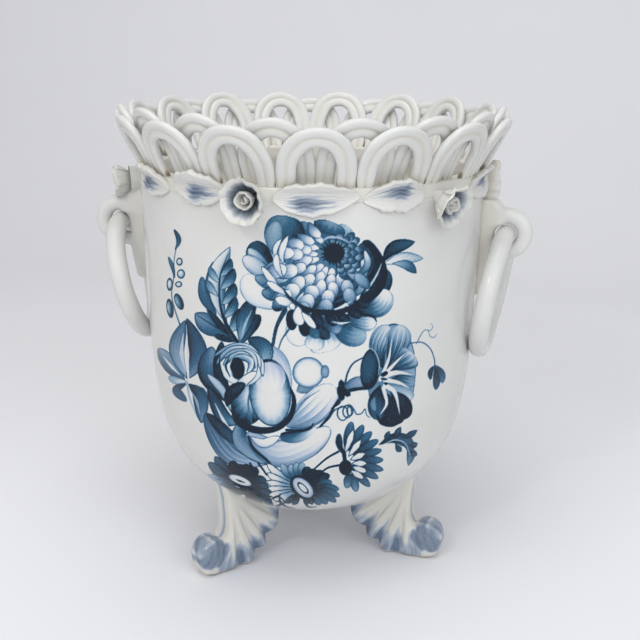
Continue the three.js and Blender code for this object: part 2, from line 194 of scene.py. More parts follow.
class PotSizes(bpy.types.PropertyGroup):
    """Sizes of the pot that a user would change"""
    rim_radius: bpy.props.FloatProperty(
        name="Rim radius", description="Outside radius of the pot at its rim",
        default=RIM_TOP.x, subtype="DISTANCE", unit="LENGTH")
    rim_height: bpy.props.FloatProperty(
        name="Rim height", description="Height of the rim above the table, without the gallery",
        default=RIM_TOP.z, subtype="DISTANCE", unit="LENGTH")
    base_radius: bpy.props.FloatProperty(
        name="Base radius", description="Radius of the flat base disc",
        default=30 * MM, subtype="DISTANCE", unit="LENGTH")
    wall_thickness: bpy.props.FloatProperty(
        name="Wall thickness", description="Thickness of the turned wall",
        default=7 * MM, subtype="DISTANCE", unit="LENGTH")
    coil_diameter: bpy.props.FloatProperty(
        name="Coil diameter", description="Diameter of each rolled coil of the gallery",
        default=4.8 * MM, subtype="DISTANCE", unit="LENGTH")
    ring_radius: bpy.props.FloatProperty(
        name="Ring radius", description="Radius of a ring handle at the middle of its tube",
        default=36.2 * MM, subtype="DISTANCE", unit="LENGTH")
    ring_tube: bpy.props.FloatProperty(
        name="Ring tube", description="Diameter of a ring handle's tube",
        default=12 * MM, subtype="DISTANCE", unit="LENGTH")
    eye_coil: bpy.props.FloatProperty(
        name="Eye coil", description="Diameter of the coil that closes round a ring handle",
        default=9.8 * MM, subtype="DISTANCE", unit="LENGTH")
    paint_spacing: bpy.props.FloatProperty(
        name="Paint spacing", description="Distance between the points that carry the painting",
        default=0.45 * MM, subtype="DISTANCE", unit="LENGTH")


class GlazeColours(bpy.types.PropertyGroup):
    """Colours of the glaze and of the blues that were brushed on it"""
    glaze: bpy.props.FloatVectorProperty(
        name="Tin glaze", description="White tin glaze where it lies thick",
        default=linear("#dddddb"), size=4, subtype="COLOR", min=0, max=1)
    thin_glaze: bpy.props.FloatVectorProperty(
        name="Thin tin glaze", description="White tin glaze where it lies thin over the clay",
        default=linear("#cfcfcb"), size=4, subtype="COLOR", min=0, max=1)
    # This cream also serves as painted shade in the arches' groove and where eyes and leaves meet the wall
    cream: bpy.props.FloatVectorProperty(
        name="Pooled glaze", description="Cream of the glaze that has pooled in a groove",
        default=linear("#d6cebb"), size=4, subtype="COLOR", min=0, max=1)
    cobalt: bpy.props.FloatVectorProperty(
        name="Cobalt", description="Blue of the painting where the brush was half full",
        default=linear("#205a79"), size=4, subtype="COLOR", min=0, max=1)
    navy: bpy.props.FloatVectorProperty(
        name="Navy", description="Blue of the painting where the brush was full",
        default=linear("#001527"), size=4, subtype="COLOR", min=0, max=1)
    leaf_blue: bpy.props.FloatVectorProperty(
        name="Leaf blue", description="Grey-blue in the hollows of the garland's leaves",
        default=linear("#4a5b72"), size=4, subtype="COLOR", min=0, max=1)
    rose_blue: bpy.props.FloatVectorProperty(
        name="Rose blue", description="Grey-blue inside the roses' petals",
        default=linear("#697480"), size=4, subtype="COLOR", min=0, max=1)
    foot_blue: bpy.props.FloatVectorProperty(
        name="Foot blue", description="Slate blue on the lobes and scrolls of the feet",
        default=linear("#66768c"), size=4, subtype="COLOR", min=0, max=1)


def new_piece(name, points, faces):
    """A smooth mesh object from its points and faces."""
    mesh = bpy.data.meshes.new(name)
    mesh.from_pydata(np.asarray(points, float).tolist(), [], faces)
    mesh.update()
    mesh.polygons.foreach_set("use_smooth", [True] * len(mesh.polygons))
    piece = bpy.data.objects.new(name, mesh)
    bpy.context.scene.collection.objects.link(piece)
    return piece


def skin_faces(rows, columns, closed=True, looped=False, capped=True, first=0):
    """Faces of a skin over rows of points. closed joins each row's ends, looped joins the last row to the
    first, and capped closes both ends on two points that follow the rows."""
    i = np.arange(rows if looped else rows - 1)[:, None]
    j = np.arange(columns if closed else columns - 1)[None, :]
    below, above = first + i * columns, first + ((i + 1) % rows) * columns
    after = (j + 1) % columns
    quads = np.stack(np.broadcast_arrays(below + j, below + after, above + after, above + j), axis=-1)
    quads = quads.reshape(-1, 4).tolist()
    if capped:
        start, last_row = first + rows * columns, first + (rows - 1) * columns
        for k in range(columns):
            following = (k + 1) % columns
            quads.append([start, first + following, first + k])
            quads.append([start + 1, last_row + k, last_row + following])
    return quads


def skin(name, rows, closed=True, looped=False, capped=True):
    """A piece skinned over rows of points, an array of rows by columns by three."""
    points = rows.reshape(-1, 3)
    if capped:
        points = np.vstack([points, rows[0].mean(0), rows[-1].mean(0)])
    return new_piece(name, points, skin_faces(rows.shape[0], rows.shape[1], closed, looped, capped))


def set_values(piece, name, values):
    """Stores one number for each point of a piece, for its material to read."""
    values = np.asarray(values, np.float32).ravel()
    count = len(piece.data.vertices)
    stored = np.zeros(count, np.float32)
    stored[:len(values)] = values[:count]
    piece.data.attributes.new(name, "FLOAT", "POINT").data.foreach_set("value", stored)


def points_of(piece):
    """The points of a piece, in metres."""
    points = np.zeros(len(piece.data.vertices) * 3)
    piece.data.vertices.foreach_get("co", points)
    return points.reshape(-1, 3)


def move_points(piece, points):
    """Moves the points of a piece to new places."""
    piece.data.vertices.foreach_set("co", points.ravel())
    piece.data.update()


def fuse(piece, voxel, rounds):
    """Fuses a piece's overlapping parts into one skin and eases the seams, as a wet sponge does."""
    remesh = piece.modifiers.new("fuse", "REMESH")
    remesh.mode = "VOXEL"
    remesh.voxel_size = voxel
    ease = piece.modifiers.new("ease", "SMOOTH")
    ease.factor = 0.5
    ease.iterations = rounds
    graph = bpy.context.evaluated_depsgraph_get()
    fused = bpy.data.meshes.new_from_object(piece.evaluated_get(graph))
    fused.polygons.foreach_set("use_smooth", [True] * len(fused.polygons))
    piece.modifiers.clear()
    piece.data = fused
    return piece


def settle(piece, node, material):
    """Gives a piece its material and its place in the frame, where it stands for a solid."""
    piece.data.materials.append(material)
    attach(piece, "root")
    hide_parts(node)


def waves(values, seed, octaves=3):
    """Smooth noise of about one unit's size along a number line, from -1 to 1."""
    rng = np.random.default_rng(seed)
    total = np.zeros_like(np.asarray(values, float))
    for octave in range(octaves):
        phase, pace = rng.uniform(0, 2 * math.pi), rng.uniform(0.8, 1.2) * 2 ** octave
        total += np.sin(2 * math.pi * pace * values + phase) / (1.6 ** octave)
    return total / 2


def path_lengths(points):
    """Length along a path up to each of its points."""
    steps = np.linalg.norm(np.diff(points, axis=0), axis=1)
    return np.concatenate([[0], np.cumsum(steps)])


def along_path(points, distances):
    """Points at these distances along a path."""
    lengths = path_lengths(points)
    return np.stack([np.interp(distances, lengths, column) for column in points.T], axis=1)


def curve_through(points, count):
    """A smooth curve of count points through a few given ones."""
    points = np.asarray(points, float)
    padded = np.vstack([2 * points[0] - points[1], points, 2 * points[-1] - points[-2]])
    spans = len(points) - 1
    at = np.linspace(0, spans, count)
    index = np.minimum(at.astype(int), spans - 1)
    t = (at - index)[:, None]
    a, b, c, d = (padded[index + k] for k in range(4))
    squared, cubed = 2 * a - 5 * b + 4 * c - d, 3 * b - a - 3 * c + d
    return 0.5 * (2 * b + (c - a) * t + squared * t ** 2 + cubed * t ** 3)


def wall_radius(height):
    """Outside radius of the wall at a height, above the belly's rounding."""
    sizes = bpy.context.scene.pot_sizes
    return sizes.rim_radius - math.tan(WALL_TAPER) * (sizes.rim_height - height)


def outside_radius(height):
    """Outside radius at a height, on the wall or on the belly."""
    drop = np.clip((BELLY_TOP - height) / (BELLY_TOP - BELLY_BOTTOM), 0, 1)
    return wall_radius(height) * np.sqrt(1 - drop ** BELLY_POWER)


def outside_profile():
    """Radius and height along the outside, from the edge of the base up to the rim."""
    sizes = bpy.context.scene.pot_sizes
    lowest = math.acos(sizes.base_radius / wall_radius(BELLY_BOTTOM))
    turn = np.linspace(lowest, 0, BELLY_POINTS)
    height = BELLY_TOP - (BELLY_TOP - BELLY_BOTTOM) * np.sin(turn) ** (2 / BELLY_POWER)
    belly = np.stack([wall_radius(height) * np.cos(turn), height], axis=1)
    height = np.linspace(BELLY_TOP, sizes.rim_height, WALL_POINTS)[1:]
    return np.vstack([belly, np.stack([wall_radius(height), height], axis=1)])


def unit_slopes(line):
    """The direction of a line at each of its points."""
    slope = np.gradient(line, axis=0)
    return slope / np.linalg.norm(slope, axis=1)[:, None]


def softened(path, spacing, reach):
    """The path with its corners rounded over about the given reach."""
    even = along_path(path, np.arange(0, path_lengths(path)[-1], spacing))
    offsets = np.arange(-int(2 * reach / spacing), int(2 * reach / spacing) + 1)
    weights = np.exp(-0.5 * (offsets * spacing / (reach / 2)) ** 2)
    weights /= weights.sum()
    padded = np.pad(even, ((len(offsets) // 2,) * 2, (0, 0)), mode="edge")
    return np.stack([np.convolve(column, weights, mode="valid") for column in padded.T], axis=1)


def body_section():
    """Radius and height along the whole section of the pot, from under its base, over its rim and back to the
    middle of its inside floor."""
    sizes = bpy.context.scene.pot_sizes
    outside = outside_profile()
    slope = unit_slopes(outside)
    inside = outside + sizes.wall_thickness * np.stack([-slope[:, 1], slope[:, 0]], axis=1)
    floor = outside[0, 1] + sizes.wall_thickness
    radius, height = inside.T
    inside = inside[(radius > 0) & (height > floor) & (height < sizes.rim_height - RIM_COLLAR)]
    rim_inner = sizes.rim_radius - RIM_THICKNESS
    return softened(np.vstack([
        [0, outside[0, 1]], outside, [rim_inner, sizes.rim_height],
        [rim_inner, sizes.rim_height - 0.5 * RIM_COLLAR], inside[::-1], [0, floor]]), 0.25 * MM, 1.8 * MM)


def reference_view():
    """Where the reference view stands, and how it is turned."""
    right = Vector((math.cos(VIEW_TURN), math.sin(VIEW_TURN), 0))
    ahead = Vector((-math.sin(VIEW_TURN), math.cos(VIEW_TURN), 0))
    place = VIEW_SIDE * right - VIEW_DISTANCE * ahead + Vector((0, 0, VIEW_HEIGHT))
    turned = Matrix.Rotation(VIEW_TURN, 3, "Z") @ Matrix.Rotation(math.pi / 2 - VIEW_PITCH, 3, "X")
    return place, turned @ Matrix.Rotation(VIEW_ROLL, 3, "Z")


def add_node(tree, kind, inputs=None, **settings):
    """Adds a shader node with its settings. inputs maps a socket to a value or to another node's output."""
    made = tree.nodes.new(kind)
    for key, value in settings.items():
        setattr(made, key, value)
    for key, value in (inputs or {}).items():
        if isinstance(value, bpy.types.NodeSocket):
            tree.links.new(value, made.inputs[key])
        else:
            made.inputs[key].default_value = value
    return made


def set_ramp(ramp_node, stops):
    """Sets a colour ramp's stops, a list of places and linear colours."""
    elements = ramp_node.color_ramp.elements
    while len(elements) < len(stops):
        elements.new(0.5)
    for element, (place, colour) in zip(elements, stops):
        element.position = place
        element.color = colour


def tin_glaze(name, blues, violets=None):
    """Tin-glazed earthenware, dipped and glost-fired. To the eye it is a soft white gloss with faint waves,
    cream where it pooled and as painted shade in grooves and where pieces meet the wall, dark brown as
    painted shade and dirt deep in the arches' slits and as bare clay where the glaze is worn off the soles, a
    few brown pinholes, and the blue that was brushed on it. blues are the stops of the blue, thin to full,
    and violets those of its violet shade."""
    found = bpy.data.materials.get(name)
    if found:
        return found
    colours = bpy.context.scene.glaze_colours
    material = bpy.data.materials.new(name)
    material.use_nodes = True
    tree = material.node_tree
    tree.nodes.clear()
    where = add_node(tree, "ShaderNodeTexCoord").outputs["Object"]
    pool_noise = add_node(tree, "ShaderNodeTexNoise", {"Vector": where, "Scale": 1 / (34 * MM), "Detail": 3.0})
    body_tone = add_node(tree, "ShaderNodeMix", {
        "Factor": pool_noise.outputs["Fac"], "A": colours.glaze, "B": colours.thin_glaze}, data_type="RGBA")
    cream = add_node(tree, "ShaderNodeAttribute", attribute_name="cream")
    creamed = add_node(tree, "ShaderNodeMix", {
        "Factor": cream.outputs["Fac"], "A": body_tone.outputs["Result"], "B": colours.cream}, data_type="RGBA")
    # Painted shade and dirt: where the cream value runs past 0.6, in the slits at the arches' feet, the colour
    # turns dark brown; at the feet's soles the same brown is bare clay where the glaze is worn off
    crevice = add_node(tree, "ShaderNodeMapRange", {
        "Value": cream.outputs["Fac"], "From Min": 0.6, "From Max": 1.0, "To Max": 0.75})
    dirt_and_shade = add_node(tree, "ShaderNodeMix", {
        "Factor": crevice.outputs[0], "A": creamed.outputs["Result"], "B": linear("#5d5345")}, data_type="RGBA")
    brushed = add_node(tree, "ShaderNodeAttribute", attribute_name="cobalt")
    grain = add_node(tree, "ShaderNodeTexNoise", {"Vector": where, "Scale": 1 / (1.1 * MM), "Detail": 2.0})
    grain_shift = add_node(tree, "ShaderNodeMath", {0: grain.outputs["Fac"], 1: 0.5}, operation="SUBTRACT")
    grain_size = add_node(tree, "ShaderNodeMath", {0: grain_shift.outputs[0], 1: brushed.outputs["Fac"]},
                          operation="MULTIPLY")
    strength = add_node(tree, "ShaderNodeMath", {0: grain_size.outputs[0], 1: 0.35, 2: brushed.outputs["Fac"]},
                        operation="MULTIPLY_ADD")
    blue = add_node(tree, "ShaderNodeValToRGB", {"Fac": strength.outputs[0]})
    set_ramp(blue, blues)
    blue_tone = blue.outputs["Color"]
    if violets:
        violet = add_node(tree, "ShaderNodeValToRGB", {"Fac": strength.outputs[0]})
        set_ramp(violet, violets)
        leaning = add_node(tree, "ShaderNodeAttribute", attribute_name="violet")
        blue_tone = add_node(tree, "ShaderNodeMix", {
            "Factor": leaning.outputs["Fac"], "A": blue.outputs["Color"], "B": violet.outputs["Color"]},
            data_type="RGBA").outputs["Result"]
    cover = add_node(tree, "ShaderNodeMapRange", {
        "Value": strength.outputs[0], "From Min": 0.01, "From Max": 0.24})
    painted = add_node(tree, "ShaderNodeMix", {
        "Factor": cover.outputs[0], "A": dirt_and_shade.outputs["Result"], "B": blue_tone}, data_type="RGBA")
    cells = add_node(tree, "ShaderNodeTexVoronoi", {"Vector": where, "Scale": 1 / (11 * MM), "Randomness": 1.0})
    pinhole = add_node(tree, "ShaderNodeMapRange", {
        "Value": cells.outputs["Distance"], "From Min": 0.022, "From Max": 0.05, "To Min": 1.0, "To Max": 0.0})
    chance = add_node(tree, "ShaderNodeMath", {0: cells.outputs["Color"], 1: 0.93}, operation="GREATER_THAN")
    hole = add_node(tree, "ShaderNodeMath", {0: pinhole.outputs[0], 1: chance.outputs[0]}, operation="MULTIPLY")
    finished = add_node(tree, "ShaderNodeMix", {
        "Factor": hole.outputs[0], "A": painted.outputs["Result"], "B": linear("#6b5638")}, data_type="RGBA")
    swell = add_node(tree, "ShaderNodeTexNoise", {"Vector": where, "Scale": 1 / (9 * MM), "Detail": 2.0})
    swell_bump = add_node(tree, "ShaderNodeBump", {
        "Height": swell.outputs["Fac"], "Strength": 0.35, "Distance": 0.5 * MM})
    pit_bump = add_node(tree, "ShaderNodeBump", {
        "Height": hole.outputs[0], "Normal": swell_bump.outputs[0], "Strength": 0.6, "Distance": 0.5 * MM},
        invert=True)
    rough = add_node(tree, "ShaderNodeMapRange", {
        "Value": swell.outputs["Fac"], "To Min": 0.08, "To Max": 0.16})
    shader = add_node(tree, "ShaderNodeBsdfPrincipled", {
        "Base Color": finished.outputs["Result"], "Roughness": rough.outputs[0], "Normal": pit_bump.outputs[0],
        "IOR": 1.5, "Specular IOR Level": 0.3})
    add_node(tree, "ShaderNodeOutputMaterial", {"Surface": shader.outputs[0]})
    return material


def white_glaze():
    """The pot's own glaze with cobalt painting in it. To the eye it goes from a pale wash, through a teal or
    violet blue, to navy where the brush was full."""
    colours = bpy.context.scene.glaze_colours
    stops = (0.0, 0.3, 0.57, 0.9)
    blues = (linear("#c5d0db"), linear("#7b9fb4"), colours.cobalt, colours.navy)
    violets = (linear("#c9cfdd"), linear("#8b9fbd"), linear("#2f587e"), linear("#02152c"))
    return tin_glaze("tin_glaze_with_cobalt", list(zip(stops, blues)), list(zip(stops, violets)))


def brushed_glaze(name, thin, full):
    """Glaze over a broad brush of blue-grey. To the eye the blue is thin at its edge and full in hollows."""
    return tin_glaze(name, [(0.0, linear("#ccd0d6")), (0.5, thin), (1.0, full)])


def matt_paper():
    """The floor and backdrop: a roll of uncoated paper. To the eye it has no gloss, and a mottle that hardly
    shows."""
    paper = bpy.data.materials.new("matt_paper_backdrop")
    paper.use_nodes = True
    tree = paper.node_tree
    tree.nodes.clear()
    where = add_node(tree, "ShaderNodeTexCoord").outputs["Object"]
    mottle = add_node(tree, "ShaderNodeTexNoise", {"Vector": where, "Scale": 3.0, "Detail": 2.0})
    tone = add_node(tree, "ShaderNodeMix", {
        "Factor": mottle.outputs["Fac"], "A": linear("#ebebee"), "B": linear("#e7e7ea")}, data_type="RGBA")
    sheen = add_node(tree, "ShaderNodeBsdfPrincipled", {
        "Base Color": tone.outputs["Result"], "Roughness": 0.85, "Specular IOR Level": 0.2})
    add_node(tree, "ShaderNodeOutputMaterial", {"Surface": sheen.outputs[0]})
    return paper


class Cartoon:
    """A sheet of brush strokes, in millimetres right and up from its middle. wash holds how much cobalt lies at
    each place, from none to full, and violet how far it leans to violet. The places are step apart, and soft
    and soft_line are how wide the edge of a stroke and of the line round it run out."""

    soft, soft_line = 0.22, 0.25
    step = 0.2

    def __init__(self, low, high):
        self.low = np.array(low, float)
        self.u = np.arange(low[0], high[0], self.step)
        self.v = np.arange(low[1], high[1], self.step)
        self.wash = np.zeros((len(self.v), len(self.u)))
        self.violet = np.zeros_like(self.wash)
        self.strokes = 0

    def part(self, low, high):
        """Rows and columns of the part of the sheet between two corners, and the places in it."""
        first = np.maximum(((low - self.low) / self.step).astype(int), 0)
        last = np.maximum(((high - self.low) / self.step).astype(int) + 1, 0)
        rows, columns = slice(first[1], last[1]), slice(first[0], last[0])
        return (rows, columns), *np.meshgrid(self.u[columns], self.v[rows])

    def lay(self, part, within, tone, line_width, edge, violet):
        """Lays a tone on part of the sheet with an edge line round it. within is how far inside the edge each
        place is."""
        if np.any(line_width):
            outline = np.clip((line_width - within) / self.soft_line + 0.5, 0, 1)
            tone = tone * (1 - outline) + edge * outline
        cover = np.clip(within / self.soft + 0.5, 0, 1)
        self.wash[part] += (np.clip(tone, 0, 1) - self.wash[part]) * cover
        self.violet[part] += (violet - self.violet[part]) * cover

    def stroke(self, path, half_width, reach, tones, line, edge, violet):
        """Lays one stroke along a path. half_width gives its half width at shares of its length, and tones its
        wash at shares of its length and at sides from -1 to 1."""
        self.strokes += 1
        part, u, v = self.part(path.min(0) - reach, path.max(0) + reach)
        if u.size == 0:
            return
        direction = np.gradient(path, axis=0)
        spacing = np.linalg.norm(direction, axis=1)
        direction = direction / spacing[:, None]
        nearest = ((u[..., None] - path[:, 0]) ** 2 + (v[..., None] - path[:, 1]) ** 2).argmin(-1)
        away_u, away_v = u - path[nearest, 0], v - path[nearest, 1]
        ahead_u, ahead_v = direction[nearest, 0], direction[nearest, 1]
        share = (nearest + (away_u * ahead_u + away_v * ahead_v) / spacing[nearest]) / (len(path) - 1)
        aside = away_v * ahead_u - away_u * ahead_v
        before, here, after = (half_width(np.clip(share + step, 0, 1)) for step in (-0.01, 0, 0.01))
        length = spacing.sum()
        slope = (after - before) / (0.02 * length)
        within = (here - np.abs(aside)) / np.sqrt(1 + slope ** 2)
        beyond = np.maximum(-share, share - 1) * length
        within = np.where(beyond > 0, np.minimum(within, here - np.hypot(aside, beyond)), within)
        side = np.clip(aside / np.maximum(here, 1e-3), -1, 1)
        wander = line * (1 + 0.45 * waves(share * 2.3 + np.sign(side), self.strokes, 2))
        self.lay(part, within, tones(np.clip(share, 0, 1), side), wander, edge, violet)

    def petal(self, points, width, base=0.6, tip=0.1, edge=0.6, line=0.35, widest=0.58, fullness=0.55, side=0.0,
              ragged=0.3, violet=0.15):
        """A petal or leaf along a few points from its base to its tip. The wash runs from base to tip with the
        ragged end of a brush, and is darker on one side by side."""
        power = math.log(0.5) / math.log(widest)
        seed = self.strokes + 1

        def half_width(share):
            return width / 2 * np.clip(np.sin(math.pi * np.clip(share, 0, 1) ** power), 0, 1) ** fullness

        def tones(share, across):
            hairs = waves(across * 2.6, seed, 3) + 0.6 * waves(across * 7, seed + 50, 2)
            reached = np.clip(share + ragged * hairs * share * (1.3 - share), 0, 1)
            eased = reached * reached * (3 - 2 * reached)
            hollow = 0.2 * (np.abs(across) ** 2.2 - 0.4) * (share < 0.97)
            return base + (tip - base) * eased + side * across + hollow + 0.05 * hairs * np.abs(tip - base)

        path = curve_through(points, 36)
        self.stroke(path, half_width, width / 2 + 1, tones, line, edge, violet)

    def oval(self, centre, radii, angle=0, core=0.0, rim=0.7, light=(0, 0), falloff=2.0, edge=0.8, line=0.4,
             violet=0.1):
        """A rounded form, washed from core at its lit place to rim at its edge."""
        self.strokes += 1
        reach = max(radii) + 1
        part, u, v = self.part(np.array(centre) - reach, np.array(centre) + reach)
        u, v = u - centre[0], v - centre[1]
        c, s = math.cos(math.radians(angle)), math.sin(math.radians(angle))
        a, b = (u * c + v * s) / radii[0], (v * c - u * s) / radii[1]
        shade = np.hypot(a - light[0], b - light[1]) / (1 + 0.5 * math.hypot(*light))
        hairs = waves(np.arctan2(b - light[1], a - light[0]) * 2.2, self.strokes, 3)
        tone = core + (rim - core) * np.clip(np.clip(shade, 0, 1) ** falloff * (1 + 0.16 * hairs), 0, 1)
        self.lay(part, (1 - np.hypot(a, b)) * min(radii), tone, line, edge, violet)

    def line(self, points, widths, tone=0.9, violet=0.1):
        """A line through a few points, with its width at even shares of its length."""
        widths = np.atleast_1d(widths).astype(float)
        shares = np.linspace(0, 1, len(widths))

        def half_width(share):
            return np.interp(share, shares, widths) / 2

        def tones(share, across):
            return tone - 0.08 * np.abs(across)

        path = curve_through(points, 14 * len(points))
        self.stroke(path, half_width, widths.max() / 2 + 1, tones, 0, 0, violet)

    def at(self, u, v):
        """Wash and violet at places of the sheet."""
        x = (u - self.low[0]) / self.step
        y = (v - self.low[1]) / self.step
        outside = (x < 0) | (y < 0) | (x > len(self.u) - 2) | (y > len(self.v) - 2)
        x, y = np.clip(x, 0, len(self.u) - 2), np.clip(y, 0, len(self.v) - 2)
        i, j = y.astype(int), x.astype(int)
        s, t = y - i, x - j
        read = []
        for layer in (self.wash, self.violet):
            value = (layer[i, j] * (1 - s) * (1 - t) + layer[i + 1, j] * s * (1 - t)
                     + layer[i, j + 1] * (1 - s) * t + layer[i + 1, j + 1] * s * t)
            read.append(np.where(outside, 0, value))
        return read


def bowed(root, tip, right=0.0, up=0.0):
    """Three points of a short petal: its root, its middle drawn right and up a little, and its tip."""
    return [root, (0.5 * (root[0] + tip[0]) + right, 0.5 * (root[1] + tip[1]) + up), tip]


def ring_of_petals(sheet, centre, disc, angles, reach, width, **look):
    """Petals of a daisy round its disc, at these angles in degrees, each with its own reach from the centre."""
    for angle, far in zip(angles, reach):
        direction = np.array([math.cos(math.radians(angle)), math.sin(math.radians(angle))])
        start = np.array(centre) + direction * disc
        end = np.array(centre) + direction * far
        bow = np.array([-direction[1], direction[0]]) * 0.07 * (far - disc)
        sheet.petal([start, (start + end) / 2 + bow, end], width, **look)


def paint_leaves(sheet):
    """The lobed leaf, the berry sprig and the leaves on the left, and the small leaves on the right."""
    blue, violet = {"violet": 0.1}, {"violet": 0.45}
    sheet.petal([(-62, 3), (-69, 13), (-71, 26)], 6.5, 0.75, 0.6, 0.9, 0.4, **violet)
    sheet.petal([(-61, 8), (-66, 20), (-64, 35)], 5.5, 0.8, 0.55, 0.9, 0.4, **violet)
    sheet.petal([(-54, -8), (-65, -4), (-75, 4)], 12, 0.75, 0.5, 0.9, 0.5, widest=0.6, fullness=0.7, **violet)
    sheet.petal([(-50, -13), (-57, -11), (-64, -9)], 4.5, 0.95, 0.9, **blue)
    sheet.petal([(-55, -5), (-61, 12), (-61, 28), (-54, 44)], 11.5, 0.35, 0.25, 0.75, 0.35, widest=0.6,
                fullness=0.8, side=-0.3, **blue)
    for root, tip, width in (((-60, 26), (-53.5, 37), 5.5), ((-60, 18), (-51.5, 31), 6.5),
                             ((-59, 9), (-51, 22), 7), ((-58, 1), (-50.5, 14), 6.5),
                             ((-55, -8), (-48, 7), 7.5)):
        sheet.petal(bowed(root, tip, 1.2, -1), width, 0.3, 0.92, 0.9, 0.3, fullness=0.7, side=0.12, ragged=0.6,
                    **blue)
    for root, tip in (((-60, 22), (-66.5, 32)), ((-61, 14), (-68, 24))):
        sheet.petal(bowed(root, tip, -1), 4.6, 0.25, 0.6, 0.8, 0.3, fullness=0.7, **blue)
    sheet.petal([(-47, -14), (-42, -4), (-36, 3)], 9, 0.75, 0.95, 1.0, 0.4, **blue)
    sheet.petal([(-48, -13), (-45, 1), (-40, 13)], 10, 0.45, 0.92, 1.0, 0.4, **blue)
    sheet.line([(-47, -11), (-45, -3), (-41, 6)], [0.3, 1.4, 0.3], 0.25)
    sheet.line([(-49, -14), (-56, -3), (-60, 10), (-60, 26), (-55, 40)], [2.2, 2.2, 1.2, 0.8, 0.3], 0.97)
    sheet.petal([(-52, -12), (-60, -3), (-68, 7)], 4.5, 0.98, 0.9, **blue)
    sheet.line([(-58, -7), (-66, -2), (-74, 3)], [0.9, 0.6, 0.3], 0.9)
    # the berry sprig
    sheet.line([(-84, -3), (-87, 6), (-89, 15), (-88, 24), (-87.5, 36), (-86, 46), (-87.5, 54)],
               [1.0, 0.8, 0.7, 0.7, 0.6, 0.6, 0.3], 0.6)
    sheet.petal([(-87, 42), (-84.6, 48), (-87.6, 54.5)], 2.8, 0.6, 0.85, 0.9, 0.3)
    sheet.petal([(-87, 25), (-88.6, 32), (-91, 38)], 2.4, 0.7, 0.6, 0.9, 0.3)
    for centre, radii, rim in (((-84.3, 35), (1.9, 2.4), 0.5), ((-83.4, 27.6), (2.4, 2.8), 0.55),
                               ((-84.8, 21.4), (2.1, 1.8), 0.4), ((-90.2, 21.4), (1.8, 3.9), 0.5)):
        sheet.oval(centre, radii, 0, 0.05, rim, (-0.2, 0.2), edge=0.92, line=0.55)
    sheet.oval((-84.6, 11), (2.4, 5.2), 22, 0.3, 1.0, (-0.7, 0.2), edge=0.97, line=0.4)
    sheet.oval((-90, 7), (2.1, 5.8), 8, 0.15, 1.0, (-0.8, 0.2), edge=0.95, line=0.5)
    # the two-toned leaf and its neighbours
    sheet.petal([(-81, -37), (-89, -28), (-97, -17)], 9, 0.7, 0.5, 0.8, 0.4, side=0.2, **violet)
    sheet.line([(-84, -33), (-89, -28), (-94, -22)], [0.4, 1.8, 0.4], 0.12)
    sheet.petal([(-80, -37), (-86, -36.5), (-91, -34)], 4.5, 0.15, 0.4, 0.5, 0.3, **violet)
    sheet.petal([(-80, -38), (-86, -42), (-80, -49)], 5.5, 0.9, 0.7, **violet)
    sheet.petal([(-79.5, -36), (-86, -18), (-81, 0)], 9.5, 0.35, 0.62, 0.8, 0.4, fullness=0.8, **violet)
    sheet.line([(-80.5, -31), (-83, -20), (-82, -8)], [0.4, 2.6, 0.4], 0.2, 0.8)
    sheet.petal([(-78.5, -35), (-73, -20), (-80, 1)], 11, 0.55, 0.85, 0.92, 0.5, widest=0.5, fullness=0.7,
                side=0.1, **violet)
    sheet.line([(-79, -37), (-79.2, -22), (-80.2, -3)], [1.2, 1.0, 0.4], 0.12, 0.6)
    sheet.petal([(-79, -38), (-72, -46), (-71, -62)], 9, 0.97, 0.55, 0.85, 0.5, fullness=0.7, side=-0.1,
                **violet)
    sheet.line([(-77, -43), (-74, -49), (-72, -57)], [0.4, 1.6, 0.3], 0.35, 0.8)
    sheet.line([(-80, -37), (-78, -47), (-74, -58)], [1.5, 1.1, 0.5], 0.3, 0.5)
    sheet.line([(-71, -30), (-67, -34), (-64, -37)], [0.4, 0.9, 0.4], 0.6)
    sheet.line([(-74, -40), (-70, -41), (-67, -45)], [0.3, 0.6, 0.3], 0.6)
    # the small leaves on the right
    sheet.petal([(37, 34), (44, 43), (57, 47)], 8, 0.97, 0.75, 1.0, 0.3, fullness=0.8, **blue)
    sheet.petal([(37, 33), (49, 37), (62, 37)], 7, 0.05, 0.3, 0.7, 0.35, fullness=0.8, **blue)
    sheet.petal([(43, 34), (52, 33), (58, 28)], 6, 0.3, 0.75, 0.8, 0.35, fullness=0.8, **blue)
    sheet.petal([(35, -75), (44, -71), (52, -73), (55, -80)], 7.5, 0.97, 0.6, 0.9, 0.3, fullness=0.7, **blue)
    sheet.petal([(50, -73), (54.5, -79), (53, -87.5)], 5, 0.8, 0.55, 0.8, 0.3, fullness=0.8, **blue)
    for root, tip in (((39, -73), (41.5, -66.5)), ((44, -71), (48.5, -64)), ((49, -71), (58.5, -66)),
                      ((53, -75), (58.6, -74)), ((54, -78), (58.4, -81)), ((45, -74), (49, -79))):
        sheet.petal(bowed(root, tip, 0, -0.6), 3.8, 0.92, 0.75, 0.9, 0.25, fullness=0.9, **blue)
    sheet.line([(38, -74.6), (45, -72), (51, -74), (54, -81)], [0.4, 0.8, 0.7, 0.3], 0.2)


